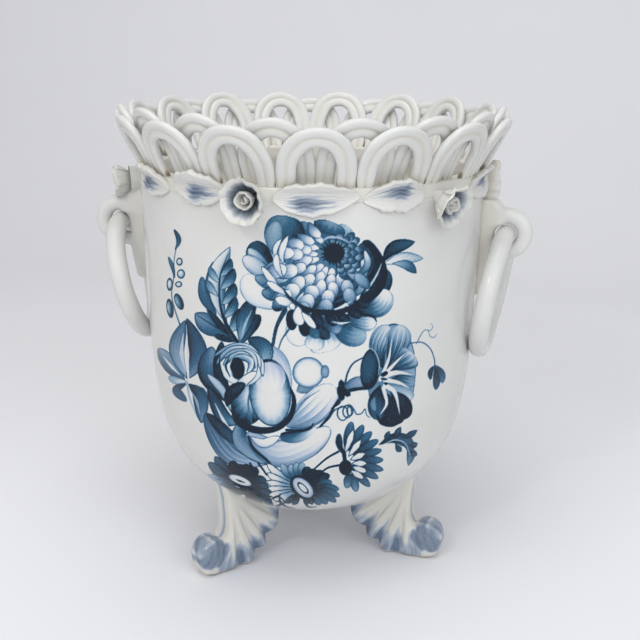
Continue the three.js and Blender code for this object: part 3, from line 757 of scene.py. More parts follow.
def paint_globe_flower(sheet):
    """The large flower at the top: broad outer petals round a globe of small ones with a dark throat."""
    pale = {"violet": 0.35}
    # outer petals at the back
    sheet.petal([(8, 46), (14, 52), (17, 56)], 12, 0.7, 0.25, 0.55, 0.35, fullness=0.4)
    sheet.petal([(0, 46), (5, 54), (7, 59)], 20, 0.98, 0.45, 0.9, 0.4, fullness=0.42)
    sheet.petal([(-6, 48), (-8, 54), (-6, 58)], 12, 0.8, 0.5, 0.6, 0.3)
    sheet.petal([(-17, 36), (-21, 50), (-18, 62)], 25, 0.95, 0.62, 0.85, 0.4, fullness=0.36, side=-0.22)
    sheet.petal([(-24, 36), (-28, 48), (-26, 59)], 10, 0.55, 0.3, 0.4, 0.3, fullness=0.5, violet=0.1)
    sheet.petal([(-26, 26), (-36, 38), (-40, 47)], 14, 0.98, 0.8, 0.97, 0.4, fullness=0.45)
    sheet.petal([(-27, 24), (-36, 34), (-43, 43)], 8, 0.6, 0.22, 0.5, 0.3)
    sheet.petal([(-25, 24), (-37, 31), (-46, 38)], 10, 0.4, 0.14, 0.8, 0.4, fullness=0.45, **pale)
    sheet.petal([(-20, 8), (-37, 15), (-45, 27)], 15, 0.15, 0.05, 0.6, 0.35, widest=0.62, fullness=0.42, **pale)
    sheet.petal([(-22, 14), (-31, 22), (-39, 26)], 7.5, 0.85, 0.45, 0.85, 0.4, fullness=0.5)
    sheet.petal([(-20, 12), (-28, 15), (-35, 17)], 7.5, 0.9, 0.5, 0.9, 0.45, fullness=0.5)
    sheet.petal([(-20, 9), (-25, 8), (-29, 8)], 6, 0.98, 0.9)
    sheet.petal([(24, 10), (36, 20), (39, 31)], 12, 0.98, 0.72, 0.8, 0.35, fullness=0.45)
    sheet.petal([(20, 7), (34, 8), (41, 18)], 14, 0.98, 0.03, 0.6, 0.35, widest=0.62, fullness=0.45)
    sheet.petal([(24, 8), (34, 26), (27, 48)], 13, 0.98, 0.98, 1.0, 0.3, fullness=0.42)
    sheet.petal([(23, 20), (29, 34), (24, 46)], 6, 0.95, 0.85)
    sheet.line([(22, 9), (29, 19), (34, 27), (37, 34)], [0.3, 1.3, 1.2, 0.4], 0.2)
    # scalloped petals under it
    sheet.petal([(-12, 0), (-14, -7), (-8, -14)], 14, 0.05, 0.0, 0.5, 0.3, fullness=0.45)
    sheet.petal([(2, 0), (3, -12), (5, -19)], 20, 0.55, 0.0, 0.5, 0.3, widest=0.65, fullness=0.42)
    sheet.petal([(-1, -2), (-3, -12), (-4, -18)], 12, 0.5, 0.0, 0.5, 0.25, widest=0.65, fullness=0.42)
    sheet.petal([(6, 0), (17, -9), (28, -9)], 13, 0.9, 0.3, 0.55, 0.4, widest=0.62, fullness=0.42)
    sheet.petal([(8, 3), (24, -1), (34, -2)], 10, 0.98, 0.04, 0.5, 0.35, widest=0.66, fullness=0.42)
    sheet.line([(20, 2), (27, 3), (32, 2), (34, -1)], [1.0, 1.9, 1.6, 0.6], 0.97)
    sheet.petal([(-2, 4), (8, -3), (11, -8)], 9, 0.9, 0.4, 0.7, 0.3, **pale)
    sheet.petal([(-6, 4), (0, -6), (6, -11)], 8, 0.98, 0.85)
    sheet.petal([(-5, 2), (-5, -5), (-1, -11)], 7, 0.98, 0.6)
    # the globe, shaded before its petals lie on it
    sheet.oval((-1, 29), (26, 24), 0, 0.5, 0.95, (-0.2, 0.2), 3.0, edge=0.9, line=0.4)
    for u, v, bend, height in ((17, 14, 23, 34), (20, 16, 26, 38), (14, 10, 24, 26), (22, 22, 28, 42)):
        sheet.petal([(u - 6, v), (bend, (v + height) / 2), (bend - 1, height)], 4.5, 0.85, 0.12, 0.8, 0.3,
                    **pale)
    # its small petals, in rows round the throat: distance of their tips, turns from and to, count and width
    throat, squash = np.array([8.5, 40.0]), np.array([1.0, 0.92])
    rng = np.random.default_rng(11)
    rows = [(34, 105, 235, 11, 4.2), (30, 100, 245, 10, 6.4), (9.5, 125, 300, 8, 5.0), (13.5, 118, 318, 9, 6.2),
            (18.5, 112, 322, 10, 7.6), (24, 128, 318, 9, 8.6), (30, 150, 312, 8, 9.4), (36, 196, 304, 6, 9.6)]
    for distance, start, end, count, width in rows:
        for k in range(count):
            angle = math.radians(start + (end - start) * (k + rng.uniform(0.35, 0.65)) / count)
            toward = np.array([math.cos(angle), math.sin(angle)])
            tip = throat + toward * distance * squash
            root = throat + toward * (distance + 10.5 + 0.12 * distance) * squash
            if np.hypot((tip[0] + 1) / 25, (tip[1] - 29) / 23) > 0.95:
                continue
            middle = (tip + root) / 2 + rng.uniform(-0.8, 0.8, 2)
            base = 0.65 + 0.4 * (tip[1] < 14)
            shaded = 0.45 * np.clip((17 - tip[1]) / 10, 0, 1) + 0.3 * np.clip((tip[0] - 10) / 10, 0, 1)
            sheet.petal([root, middle, tip], width * rng.uniform(0.9, 1.08), base,
                        shaded + rng.uniform(0.0, 0.06), 0.78, 0.34, widest=0.6, fullness=0.42,
                        side=rng.uniform(-0.1, 0.1), violet=rng.uniform(0.2, 0.9))
    # the long petals on its left
    for root, middle, tip, width in (
            ((-22, 33), (-23, 41), (-19, 51), 4.4), ((-25, 33), (-27, 42), (-23, 49), 3.6),
            ((-23, 17), (-29, 24), (-35, 32), 4.6), ((-18, 14), (-26, 19), (-32, 23), 4.8),
            ((-15, 9), (-21, 11), (-27, 13), 6.2), ((-22, 24), (-26, 33), (-26, 40), 4.6)):
        sheet.petal([root, middle, tip], width, 0.25, 0.0, 0.75, 0.4, fullness=0.6, **pale)
    # the throat, with the small petals on its right
    for distance, start, end, width in ((15.5, -78, 62, 5.2), (12, -80, 84, 5.0), (8.4, -78, 108, 4.6)):
        for k in range(7):
            angle = math.radians(start + (end - start) * (k + rng.uniform(0.3, 0.7)) / 7)
            toward = np.array([math.cos(angle), math.sin(angle)]) * squash
            tip, root = throat + toward * (distance - 3), throat + toward * (distance + 2.6)
            sheet.petal([root, (tip + root) / 2 + rng.uniform(-0.4, 0.4, 2), tip], width, 0.85,
                        rng.uniform(0.1, 0.4), 0.85, 0.35, widest=0.6, fullness=0.42, violet=0.3)
    sheet.oval(throat, (6.2, 5.8), 20, 1.0, 1.0, edge=1.0, line=0.3)
    for k in range(22):
        angle = math.radians(360 * (k + rng.uniform(-0.3, 0.3)) / 22)
        toward = np.array([math.cos(angle), math.sin(angle)])
        start = throat + 4.5 * toward
        sheet.line([start, start + rng.uniform(1.6, 4.6) * toward], [2.0, 0.4], 1.0)
    sheet.line([(0, 46), (5, 49.5), (12, 49), (18, 46)], [0.4, 1.3, 1.2, 0.4], 0.25, 0.7)
    # the dark hollow under the globe and the fingers at its root
    for root, tip, width in (((-12, 8), (-7, 2), 5), ((-4, 6), (1, -3), 6), ((3, 5), (10, -3), 6),
                             ((9, 6), (18, -2), 6), ((15, 8), (25, 2), 5.5), ((20, 11), (30, 9), 5)):
        sheet.petal(bowed(root, tip, 0, -0.6), width, 1.0, 0.88, 1.0, 0.3, fullness=0.5)
    sheet.line([(-15, 11), (-8, 6.6), (2, 4.6), (12, 5), (21, 9), (28, 17)],
               [1.2, 2.8, 3.6, 3.4, 2.8, 0.8], 0.98)
    sheet.line([(9, 6), (14, 8), (19, 11.5)], [0.3, 1.2, 0.2], 0.15)
    sheet.line([(7, -1), (13, -2), (19, -1)], [0.3, 1.4, 0.2], 0.1)
    sheet.line([(-14, 10), (-19, 14), (-22, 19)], [2.4, 1.8, 0.6], 0.9)
    sheet.line([(-21, 6), (-26, -4), (-28.5, -16)], [3.2, 2.2, 2.0], 0.85, 0.3)
    sheet.line([(-19, -6), (-23, -12), (-25, -18)], [1.4, 1.0, 0.8], 0.65, 0.3)
    sheet.oval((-17, 0), (3.4, 6.2), 4, 1.0, 1.0, edge=1.0, line=0.3)
    sheet.oval((-9.5, -4), (3.4, 6.0), 8, 1.0, 1.0, edge=1.0, line=0.3)
    sheet.petal([(-13, 8), (-13, 2), (-11, -3)], 7, 0.05, 0.1, 0.6, 0.3, fullness=0.42, **pale)
    sheet.petal([(-11, 5), (-7, 0), (-2.5, -5)], 4.6, 0.02, 0.0, 0.8, 0.3)
    sheet.petal([(-15, 6), (-16.5, 8), (-18, 10)], 4, 0.0, 0.0, 0.8, 0.35)


def paint_rose(sheet):
    """The full rose in the middle: folded outer petals, a dark heart and a round front petal."""
    pale = {"violet": 0.6}
    sheet.petal([(-18, -44), (-24, -28), (-31, -16)], 12, 0.15, 0.3, 0.55, 0.35, fullness=0.5, **pale)
    sheet.petal([(-34, -32), (-33, -18), (-43, -11)], 10, 0.3, 0.85, 0.95, 0.5, fullness=0.6)
    sheet.petal([(-55, -50), (-67, -33), (-65, -16)], 12, 0.9, 0.55, 0.9, 0.5, widest=0.6, side=0.15,
                violet=0.4)
    sheet.petal([(-53, -50), (-60, -32), (-59, -13)], 8, 0.98, 0.9, 1.0, 0.3, violet=0.2)
    sheet.petal([(-52, -57), (-58, -43), (-68, -32)], 5, 0.35, 0.25, 0.8, 0.4, violet=0.4)
    sheet.petal([(-14, -43), (-9, -40), (-5, -36)], 9, 0.5, 0.45, 0.5, 0.2, violet=0.3)
    sheet.oval((-7, -31.5), (9.6, 9.4), 0, 0.0, 0.6, (0, 0), 6.0, edge=0.55, line=0.9, violet=0.4)
    sheet.oval((3, -31), (2.6, 4.0), 0, 0.3, 0.6, edge=0.6, line=0.4, violet=0.4)
    sheet.petal([(-20, -64), (-6, -55), (9, -40)], 19, 0.5, 0.0, 0.55, 0.35, widest=0.62, fullness=0.42,
                side=-0.1, ragged=0.7, **pale)
    sheet.line([(-15, -56), (-9, -48), (0, -42)], [0.8, 1.0, 0.3], 0.55, 0.4)
    # the lower petals
    sheet.petal([(-48, -62), (-58, -58), (-67, -40)], 8.5, 0.5, 0.9, 0.97, 0.5, violet=0.3)
    sheet.line([(-52, -68), (-58, -60), (-63, -50)], [0.3, 1.8, 0.4], 0.15, 0.5)
    sheet.petal([(-30, -86), (-52, -80), (-69, -56)], 15, 0.3, 0.7, 0.9, 0.45, widest=0.6, side=-0.1,
                ragged=0.6, **pale)
    sheet.petal([(-46, -76), (-56, -68), (-68, -56)], 7, 0.7, 0.95, 0.98, 0.4, violet=0.3)
    sheet.petal([(-48, -60), (-47, -72), (-32, -86)], 11, 0.6, 0.5, 0.85, 0.5, side=0.25, ragged=0.5,
                violet=0.4)
    sheet.petal([(-44, -68), (-27, -80), (-8, -75), (6, -65)], 17, 0.35, 0.03, 0.55, 0.7, widest=0.5,
                fullness=0.42, side=-0.12, ragged=0.5, **pale)
    sheet.petal([(-24, -70), (-12, -70), (-2, -64)], 7, 0.8, 0.15, 0.3, 0.1, widest=0.3, side=0.2, violet=0.3)
    sheet.petal([(-42, -70), (-34, -74), (-24, -70)], 6, 0.2, 0.0, 0.7, 0.4, side=-0.15, **pale)
    sheet.line([(-43, -70), (-40, -77), (-32, -84), (-30, -87)], [1.4, 2.0, 1.6, 1.0], 0.95)
    sheet.line([(-20, -66), (-12, -66.5), (-6, -65), (-4, -62)], [1.5, 1.8, 1.5, 0.5], 0.97)
    sheet.line([(-53, -54), (-49, -61.5), (-38, -66), (-26, -65), (-18, -58), (-15.6, -48), (-18, -40)],
               [1.2, 3.6, 4.4, 3.4, 3.6, 2.6, 0.8], 0.99)
    # the round front petals
    for centre, radii, angle, rim, light, falloff, line in (
            ((-43, -50), (10.2, 13.4), -12, 0.95, (0.1, 0.35), 1.5, 0.35),
            ((-30, -43.5), (12.6, 20.2), 6, 0.98, (0.0, -0.15), 3.4, 0.45)):
        sheet.oval(centre, radii, angle, 0.0, rim, light, falloff, edge=0.9, line=line, violet=0.2)
    sheet.petal([(-30, -46), (-30, -36), (-31, -25)], 19, 0.0, 0.25, 0.2, 0.0, fullness=0.5, violet=0.95)
    sheet.line([(-41, -62), (-43, -52), (-42, -43), (-37, -35)], [0.8, 1.2, 1.0, 0.6], 0.6, 0.4)
    # the heart, and its folded petals from the outermost in: their reach, and turns from and to
    sheet.oval((-47, -27), (13.5, 12.5), -20, 0.03, 0.1, edge=0.7, line=0.3)
    folds = ((15.6, 2.5, -0.3), (13.2, 2.9, 0.0), (10.8, 2.4, -0.5), (8.6, 3.0, -0.1), (6.4, 2.3, -0.6))
    for grow, start, end in folds:
        slip = 0.16 * (folds[0][0] - grow)
        arc = [(-50 + 1.4 * slip + grow * math.cos(a) + 0.9 * math.sin(3 * a + grow),
                -29.5 + slip + 0.9 * grow * math.sin(a) + 0.5 * math.sin(2 * a))
               for a in np.linspace(start, end, 6)]
        sheet.petal(arc, 4.4, 0.5, 0.2, 0.88, 0.4, widest=0.5, fullness=0.38, side=-0.3, violet=0.3)
    sheet.petal([(-52, -42), (-46, -37), (-38, -31)], 6, 0.3, 0.0, 0.75, 0.4)
    sheet.petal([(-56, -52), (-53, -44), (-45, -38)], 8, 0.98, 0.9, 1.0, 0.3)
    sheet.oval((-49.6, -29), (4.4, 6.6), 6, 1.0, 1.0, edge=1.0, line=0.3)
    sheet.line([(-54, -34), (-56.5, -28), (-54.5, -22)], [0.5, 1.3, 0.4], 0.9)
    sheet.line([(-52.5, -33), (-54.4, -28), (-52.8, -23.5)], [0.4, 1.0, 0.3], 0.05)
    sheet.line([(-55, -46), (-57, -38), (-60, -28), (-60, -20)], [1.2, 1.6, 1.0, 0.4], 0.95)


def paint_bindweed(sheet):
    """The bindweed on the right, its calyx and tube, its stem, and its tendrils."""
    sheet.line([(15, -39), (16.5, -32), (20, -26), (26, -22.5)], [1.2, 1.1, 1.0, 0.8], 0.85)
    sheet.petal([(13, -43), (20, -39), (29, -35)], 8, 0.65, 0.35, 0.8, 0.4, fullness=0.6, violet=0.7)
    sheet.line([(14, -43), (21, -41.6), (29, -41)], [1.4, 2.0, 1.6], 1.0)
    # the open corolla: fields between white rays
    sheet.oval((43, -32.5), (14.4, 30.4), -3, 0.5, 0.3, (-0.3, 0.0), 2.0, edge=0.8, line=0.4, violet=0.4)
    for points, width, base, tip, edge in (
            ([(38, -30), (35, -17), (41, -3)], 13, 1.0, 0.18, 0.5),
            ([(40, -30), (46, -16), (49, -3)], 15, 1.0, 0.2, 0.5),
            ([(40, -31), (51, -24), (56, -20)], 15, 0.95, 0.2, 0.5),
            ([(42, -35), (50, -36), (57, -38)], 10, 0.95, 0.4, 0.5),
            ([(42, -39), (50, -44), (54, -49)], 10, 0.4, 0.2, 0.5),
            ([(42, -42), (49, -50), (49, -60)], 12, 0.9, 0.97, 1.0),
            ([(40, -44), (43, -54), (42, -63)], 16, 0.97, 0.97, 1.0),
            ([(36, -39), (34, -48), (35, -60)], 11, 0.98, 0.7, 1.0)):
        sheet.petal(points, width, base, tip, edge, 0.35, widest=0.68, fullness=0.5, ragged=0.6, violet=0.35)
    for ray, wide in (
            ([(36, -36), (41, -24), (43, -12)], 2.0), ([(37, -35), (44, -27), (51, -20)], 2.2),
            ([(38, -34), (46, -31.5), (56, -33)], 3.2), ([(39, -36), (47, -37.5), (54, -41)], 2.6),
            ([(39, -39), (45, -44), (48, -57)], 3.0), ([(38, -41), (40, -50), (36, -57)], 2.2)):
        sheet.line(ray, [wide, 0.8 * wide, 0.2], 0.02)
    sheet.petal([(33, -46), (32, -50), (33, -55)], 4.5, 0.55, 0.5, 0.9, 0.2)
    sheet.line([(34, -57), (37, -62), (44, -63), (51, -58), (53, -50)], [1.2, 1.8, 1.8, 1.4, 0.5], 1.0)
    sheet.oval((30, -29.5), (5.8, 12.2), -6, 0.7, 1.0, (-0.2, 0.1), 2.5, edge=1.0, line=0.5, violet=0.2)
    sheet.line([(29, -16.5), (33, -19), (35.5, -26), (35, -33)], [0.5, 0.9, 0.9, 0.4], 0.25)
    sheet.oval((38.6, -32.4), (2.4, 1.3), 28, 1.0, 1.0, edge=1.0, line=0.3)
    sheet.oval((38.4, -35.4), (2.0, 0.8), -10, 0.8, 0.9, edge=0.9, line=0.2)
    sheet.oval((39.6, -38.2), (1.2, 0.8), -10, 0.9, 0.9, edge=0.9, line=0.2)
    # the calyx and the stem
    sheet.line([(14, -45), (9, -51), (5.5, -58), (0, -64)], [2.2, 1.3, 1.8, 1.2], 0.98)
    sheet.line([(13, -46), (11.5, -50), (7, -53)], [1.0, 1.1, 0.8], 0.95)
    for tip in ((12.4, -35.5), (10.4, -40), (18.5, -45.4), (12.5, -49)):
        sheet.petal(bowed((13.6, -44.5), tip, 0, 0.75), 4.0, 1.0, 1.0, fullness=0.9)
    sheet.oval((13.2, -43), (3.0, 3.2), 0, 1.0, 1.0, edge=1.0, line=0.3)
    # the tendrils
    sheet.line([(5.5, -59), (9, -54), (14, -52), (18, -51), (20.5, -54), (22, -56.5), (25, -56), (27, -53.4),
                (28, -57), (30, -58.6)], [0.9, 0.9, 0.8, 0.8, 0.7, 0.6, 0.5], 0.75, 0.3)
    for centre, radii in (((13.6, -56), (3.2, 4.2)), ((16.4, -55), (2.6, 3.6)), ((18, -54.6), (1.8, 2.8))):
        turn = np.linspace(0, 6.6, 12)
        sheet.line([(centre[0] + radii[0] * math.cos(a), centre[1] + radii[1] * math.sin(a)) for a in turn],
                   [0.8, 0.9, 0.6], 0.8, 0.3)
    sheet.line([(54, -14), (61, -13.4), (66, -17), (68.5, -23), (69, -28)], [0.6, 0.8, 0.7, 0.8], 0.7, 0.4)
    sheet.line([(58, -14), (60.5, -9), (63, -6), (66, -6.4), (67.6, -4), (66.2, -1.6)], [0.7, 0.6, 0.5, 0.3],
               0.55, 0.6)
    sheet.line([(65, -6), (66, -9.6), (68.6, -10.4), (70, -8.4)], [0.4, 0.6, 0.3], 0.55, 0.6)
    sheet.petal([(69, -27), (66.4, -31), (66.2, -36)], 3.2, 0.9, 0.9)
    sheet.petal([(69.4, -27), (73, -32), (73.4, -38)], 4.2, 0.9, 0.6, violet=0.5)
    sheet.petal([(69.2, -27), (70, -35), (69.4, -42)], 4.6, 0.98, 0.75, violet=0.4)


def paint_daisies(sheet):
    """Three daisies at the foot of the bouquet, one seen from the side."""
    for stem in ([(-42, -86), (-39, -91), (-37, -96)], [(-37, -86), (-34, -90), (-32, -93)],
                 [(-31, -85), (-26, -91), (-20, -97)], [(11, -79), (4, -83), (-3, -89)],
                 [(12, -87), (5, -88.6), (0, -92)], [(-42, -88), (-44, -92), (-46, -96)]):
        sheet.line(stem, [1.3, 1.2, 1.0], 0.97)
    # the dark daisy on the left
    centre = (-48, -96.5)
    ring_of_petals(sheet, centre, 4, [206, 222, 238, 254, 272, 290], [12, 11, 9, 9, 8.5, 9], 5.0, base=0.98,
                   tip=0.75, edge=0.9, line=0.3, fullness=0.6)
    ring_of_petals(sheet, centre, 5, [158, 170, 182, 194], [19, 20, 17, 17], 4.6, base=0.98, tip=0.25, edge=0.6,
                   line=0.25, fullness=0.7, ragged=0.6, violet=0.4)
    ring_of_petals(sheet, centre, 4, [136, 150], [21, 22], 6.0, base=0.98, tip=0.7, edge=0.98, line=0.3)
    ring_of_petals(sheet, centre, 3, [30, 58, 86, 112], [13, 11, 10, 13], 6.6, base=1.0, tip=0.98, edge=1.0,
                   line=0.3, fullness=0.42)
    ring_of_petals(sheet, centre, 5, [300, 311, 322, 334, 346, 0], [14, 20, 25, 22, 18, 16], 5.4, base=1.0,
                   tip=0.8, edge=0.95, line=0.3, fullness=0.6, ragged=0.5)
    sheet.oval((-48, -96.6), (8.6, 3.6), -22, 1.0, 1.0, edge=1.0, line=0.3)
    sheet.oval((-48, -96.2), (7.4, 2.4), -22, 0.0, 0.12, edge=0.4, line=0.25, violet=0.6)
    sheet.line([(-50.5, -95.6), (-48, -96.6), (-45, -97.6)], [0.3, 1.2, 0.3], 0.95)
    # the half pale, half dark daisy in the middle
    centre = (-10.5, -100.5)
    ring_of_petals(sheet, centre, 5, [146, 158, 170, 181, 192, 203], [26, 23, 22, 21, 21, 19], 5.0, base=0.5,
                   tip=0.0, edge=0.92, line=0.45, fullness=0.6)
    ring_of_petals(sheet, centre, 5, [132, 118, 104, 90], [19, 16, 15.5, 15], 5.2, base=0.9, tip=0.3, edge=0.7,
                   line=0.3, fullness=0.5, violet=0.2)
    ring_of_petals(sheet, centre, 5, [72, 52, 36, 24], [13, 13.5, 16, 18], 6.0, base=1.0, tip=0.92, edge=1.0,
                   line=0.3, fullness=0.55)
    ring_of_petals(sheet, centre, 6, [10, -3, -13, -23, -33, -44], [18, 22, 23, 22, 18, 15], 4.8, base=1.0,
                   tip=0.6, edge=0.85, line=0.3, fullness=0.5, ragged=0.7)
    ring_of_petals(sheet, centre, 5, [-60, -76, 222, 240], [12, 11, 14, 12], 4.0, base=0.98, tip=0.8, edge=1.0,
                   line=0.3, fullness=0.8)
    sheet.oval(centre, (8.6, 6.0), -44, 1.0, 1.0, edge=1.0, line=0.3)
    sheet.oval((-10.2, -100.6), (7.4, 4.4), -44, 0.0, 0.3, edge=0.3, line=0.2, violet=0.7)
    sheet.oval((-10.2, -100.8), (4.6, 1.9), -46, 0.05, 0.1, edge=0.95, line=0.5)
    # the daisy seen from the side
    for tip, wide in (((19, -61), 6), ((26, -63), 5.5), ((31, -67), 5.5), ((35, -72), 5.2), ((37, -78), 5),
                      ((38, -84), 5), ((38, -90), 5), ((35, -95), 5), ((30, -100), 5)):
        root = (14 + 0.25 * (tip[0] - 14), -84 + 0.25 * (tip[1] + 84))
        sheet.petal(bowed(root, tip), wide, 0.98, 0.6, 0.85, 0.35, fullness=0.5, ragged=0.6, violet=0.3)
    for tip in ((22, -103), (16, -101)):
        sheet.petal(bowed((17, -92), tip, 0.5, 1), 5.5, 0.9, 0.5, 0.8, 0.35, fullness=0.5, violet=0.3)
    sheet.petal([(13, -80), (11.5, -74), (11.4, -68)], 4.4, 0.98, 0.9)
    for tip, root in (((20, -66), (15, -80)), ((24.6, -72), (17, -82)), ((27, -80), (18, -84)),
                      ((28, -86), (19, -86)), ((28, -91), (19, -88)), ((26, -95), (18, -90))):
        sheet.petal(bowed(root, tip), 4.0, 0.2, 0.0, 0.95, 0.4, fullness=0.55, violet=0.5)
    sheet.line([(13, -76), (14.5, -81), (15, -87)], [1.0, 2.6, 2.0], 1.0)
    sheet.oval((15.4, -88.6), (4.0, 4.6), 0, 1.0, 1.0, edge=1.0, line=0.3)
    # loose strokes under the daisies
    for points in ([(-30, -108), (-25, -106), (-20, -110)],
                   [(-24, -104), (-24, -109), (-20, -112), (-15, -113)],
                   [(-27, -112), (-22, -110), (-17, -108)], [(-17, -108), (-14, -105), (-12, -108)],
                   [(-10, -108), (-7, -112), (-2, -112)]):
        sheet.line(points, [0.4, 1.4, 0.8, 0.3], 1.0)


def sheet_places(points):
    """Where points of the wall lie on the cartoon sheet, in millimetres right and up from its middle."""
    place, turned = reference_view()
    local = (points - np.array(place)) @ np.array(turned)
    depth = -local[:, 2]
    return local[:, 0] / depth * SHEET_DISTANCE, local[:, 1] / depth * SHEET_DISTANCE


def painted_bouquet(points, painted):
    """How much cobalt lies at each point of the wall, and how far it leans to violet."""
    cartoon = Cartoon(*SHEET_CORNERS)
    for paint in (paint_leaves, paint_globe_flower, paint_rose, paint_bindweed, paint_daisies):
        paint(cartoon)
    wash, violet = np.zeros(len(points)), np.zeros(len(points))
    wash[painted], violet[painted] = cartoon.at(*sheet_places(points[painted]))
    return wash, violet


class POT_OT_body(bpy.types.Operator):
    """Turns the pot's body, with a fine grid where the bouquet is painted"""
    bl_idname = "pot.body"
    bl_label = "Turned body"

    def execute(self, context):
        sizes = context.scene.pot_sizes
        path = body_section()
        lengths = path_lengths(path)
        rim_at = lengths[np.argmax(path[:, 0])]
        painted_to = rim_at - PAINTED_BELOW_RIM
        rim_from, rim_to = rim_at - 6 * MM, rim_at + 48 * MM
        # from, to and step of each stretch of the section
        distances = np.concatenate([np.arange(start, end, step) for start, end, step in (
            (3 * MM, PAINTED_FROM, 1.5 * MM), (PAINTED_FROM, painted_to, sizes.paint_spacing),
            (painted_to, rim_from, 1.5 * MM), (rim_from, rim_to, 0.8 * MM),
            (rim_to, lengths[-1] - 2 * MM, 4 * MM))])
        profile = along_path(path, distances)
        fine = np.arange(*PAINTED_TURN, sizes.paint_spacing / sizes.rim_radius)
        coarse = np.linspace(PAINTED_TURN[1], PAINTED_TURN[0] + 2 * math.pi, 150, endpoint=False)
        turn = np.concatenate([fine, coarse])
        radius, height = profile[:, :1], profile[:, 1:]
        wobble = SWAY * waves(turn[None, :] / (2 * math.pi) * 2 + height / SWAY_LENGTH, 3, 2)
        wobble = wobble + THROWING_RINGS * waves(height / THROWING_PITCH + 0.4 * np.sin(turn[None, :]), 5, 2)
        radius = radius + wobble * np.clip(radius / (40 * MM), 0, 1)
        rows = np.stack([radius * np.cos(turn), radius * np.sin(turn),
                         np.broadcast_to(height, radius.shape)], axis=-1)
        body = skin("turned_body", rows)
        outer = np.zeros(rows.shape[:2], bool)
        outer[distances < rim_at - WHITE_RIM, :len(fine)] = True
        cobalt, violet = painted_bouquet(rows.reshape(-1, 3), outer.ravel())
        set_values(body, "cobalt", cobalt)
        set_values(body, "violet", violet)
        pooled = 0.3 * np.exp(-((distances - rim_at) / (7 * MM)) ** 2)
        pooled = pooled + 0.36 * np.clip((distances - rim_at - 5 * MM) / (4 * MM), 0, 1)
        set_values(body, "cream", np.broadcast_to(pooled[:, None], rows.shape[:2]))
        settle(body, "pot_body", white_glaze())
        return {"FINISHED"}


def coil_pair(diameter, spacing):
    """Section of two flattish coils pressed together, with a groove between them, and how deep in the groove
    each point is."""
    turn = np.linspace(-math.radians(150), math.radians(150), COIL_SIDES)
    crown = 0.44 * diameter * np.sign(np.sin(turn)) * np.abs(np.sin(turn)) ** 0.7
    right = np.stack([spacing / 2 + diameter / 2 * np.cos(turn), crown], axis=1)
    left = right[::-1] * [-1, 1]
    section = np.vstack([right, left])
    groove = np.clip(1 - np.abs(section[:, 0]) / (0.3 * spacing), 0, 1)
    return section, groove


def arch_middle(row, half_span, seed):
    """The line along the middle of one arch, across and up from the middle between its feet, and its lean. Both
    differ a little from its neighbours', as hand-rolled coils do."""
    rng = np.random.default_rng(seed)
    half_span = half_span + rng.uniform(-0.3, 0.4) * MM
    rise = row["height"] - rng.uniform(0.2, 1.5) * MM
    skew = rng.uniform(-0.035, 0.035)
    lean = row["lean"] + rng.uniform(-0.02, 0.02)
    leg = row["leg"] * rise
    straight = np.linspace(0, leg, LEG_POINTS, endpoint=False)
    wave = np.linspace(0, math.pi, ARCH_POINTS)
    bend = half_span * np.sign(np.cos(wave)) * np.abs(np.cos(wave)) ** (2 / ARCH_POWER)
    crest = leg + (rise - leg) * np.clip(np.sin(wave), 0, None) ** (2 / ARCH_POWER)
    across = np.concatenate([np.full(LEG_POINTS, half_span), bend, np.full(LEG_POINTS, -half_span)])
    up = np.concatenate([straight, crest, straight[::-1]])
    across = across + skew * up + 0.3 * MM * waves(3 * np.linspace(0, 1, len(up)), seed + 7, 2) * up / rise
    return np.stack([[across[0], *across, across[-1]], [-ARCH_SUNK, *up, -ARCH_SUNK]], axis=1), lean


def gallery_arch(row, turn, seed):
    """Rows of points over one arch of the gallery, which stands on the rim and leans outwards on a cone, and
    how much cream lies at each point: pooled glaze round its feet, and painted shade and dirt along its groove
    and, dark enough to turn brown, in the slits at the sides of its feet."""
    sizes = bpy.context.scene.pot_sizes
    spacing = COIL_PITCH * sizes.coil_diameter
    pitch = 2 * math.pi * row["foot"] / ARCH_COUNT
    middle, lean = arch_middle(row, (pitch - ARCH_GAP) / 2 - (spacing + sizes.coil_diameter) / 2, seed)
    direction = np.gradient(middle, axis=0)
    direction[:3], direction[-3:] = (0, 1), (0, -1)
    direction /= np.linalg.norm(direction, axis=1)[:, None]
    section, groove = coil_pair(sizes.coil_diameter, spacing)
    share = np.linspace(0, 1, len(middle))
    swell = 1 + 0.1 * np.sin(math.pi * share) + 0.03 * waves(5 * share, seed + 3, 2)
    x = section[None, :, 0] * swell[:, None]
    y = section[None, :, 1] * (1 + 0.04 * waves(4 * share, seed + 5, 2))[:, None]
    flat = middle[:, :1] + x * direction[:, 1:]
    level = middle[:, 1:] - x * direction[:, :1]
    settling = lean * np.clip(level / ARCH_SETTLING, 0, 1)
    radius = row["foot"] + level * math.sin(lean) - y * np.cos(settling)
    height = sizes.rim_height + level * math.cos(lean) + y * np.sin(settling)
    angle = turn + flat / row["foot"]
    rows = np.stack([radius * np.cos(angle), radius * np.sin(angle), height], axis=-1)
    # cream: painted shade and dirt along the groove, pooled glaze round the feet, and painted shade dark enough
    # to turn brown in the slits at the sides of the feet
    low = np.clip(1 - level / POOLED_AND_SHADED_HEIGHT, 0, 1)
    seam_shade = np.clip(np.abs(section[:, 0]) / np.abs(section[:, 0]).max() * 5 - 4, 0, 1)
    cream = np.clip(0.5 * groove[None, :] + 0.35 * low ** 2 + 1.1 * seam_shade[None, :] * low, 0, 1)
    return rows[:, ::-1], cream[:, ::-1]


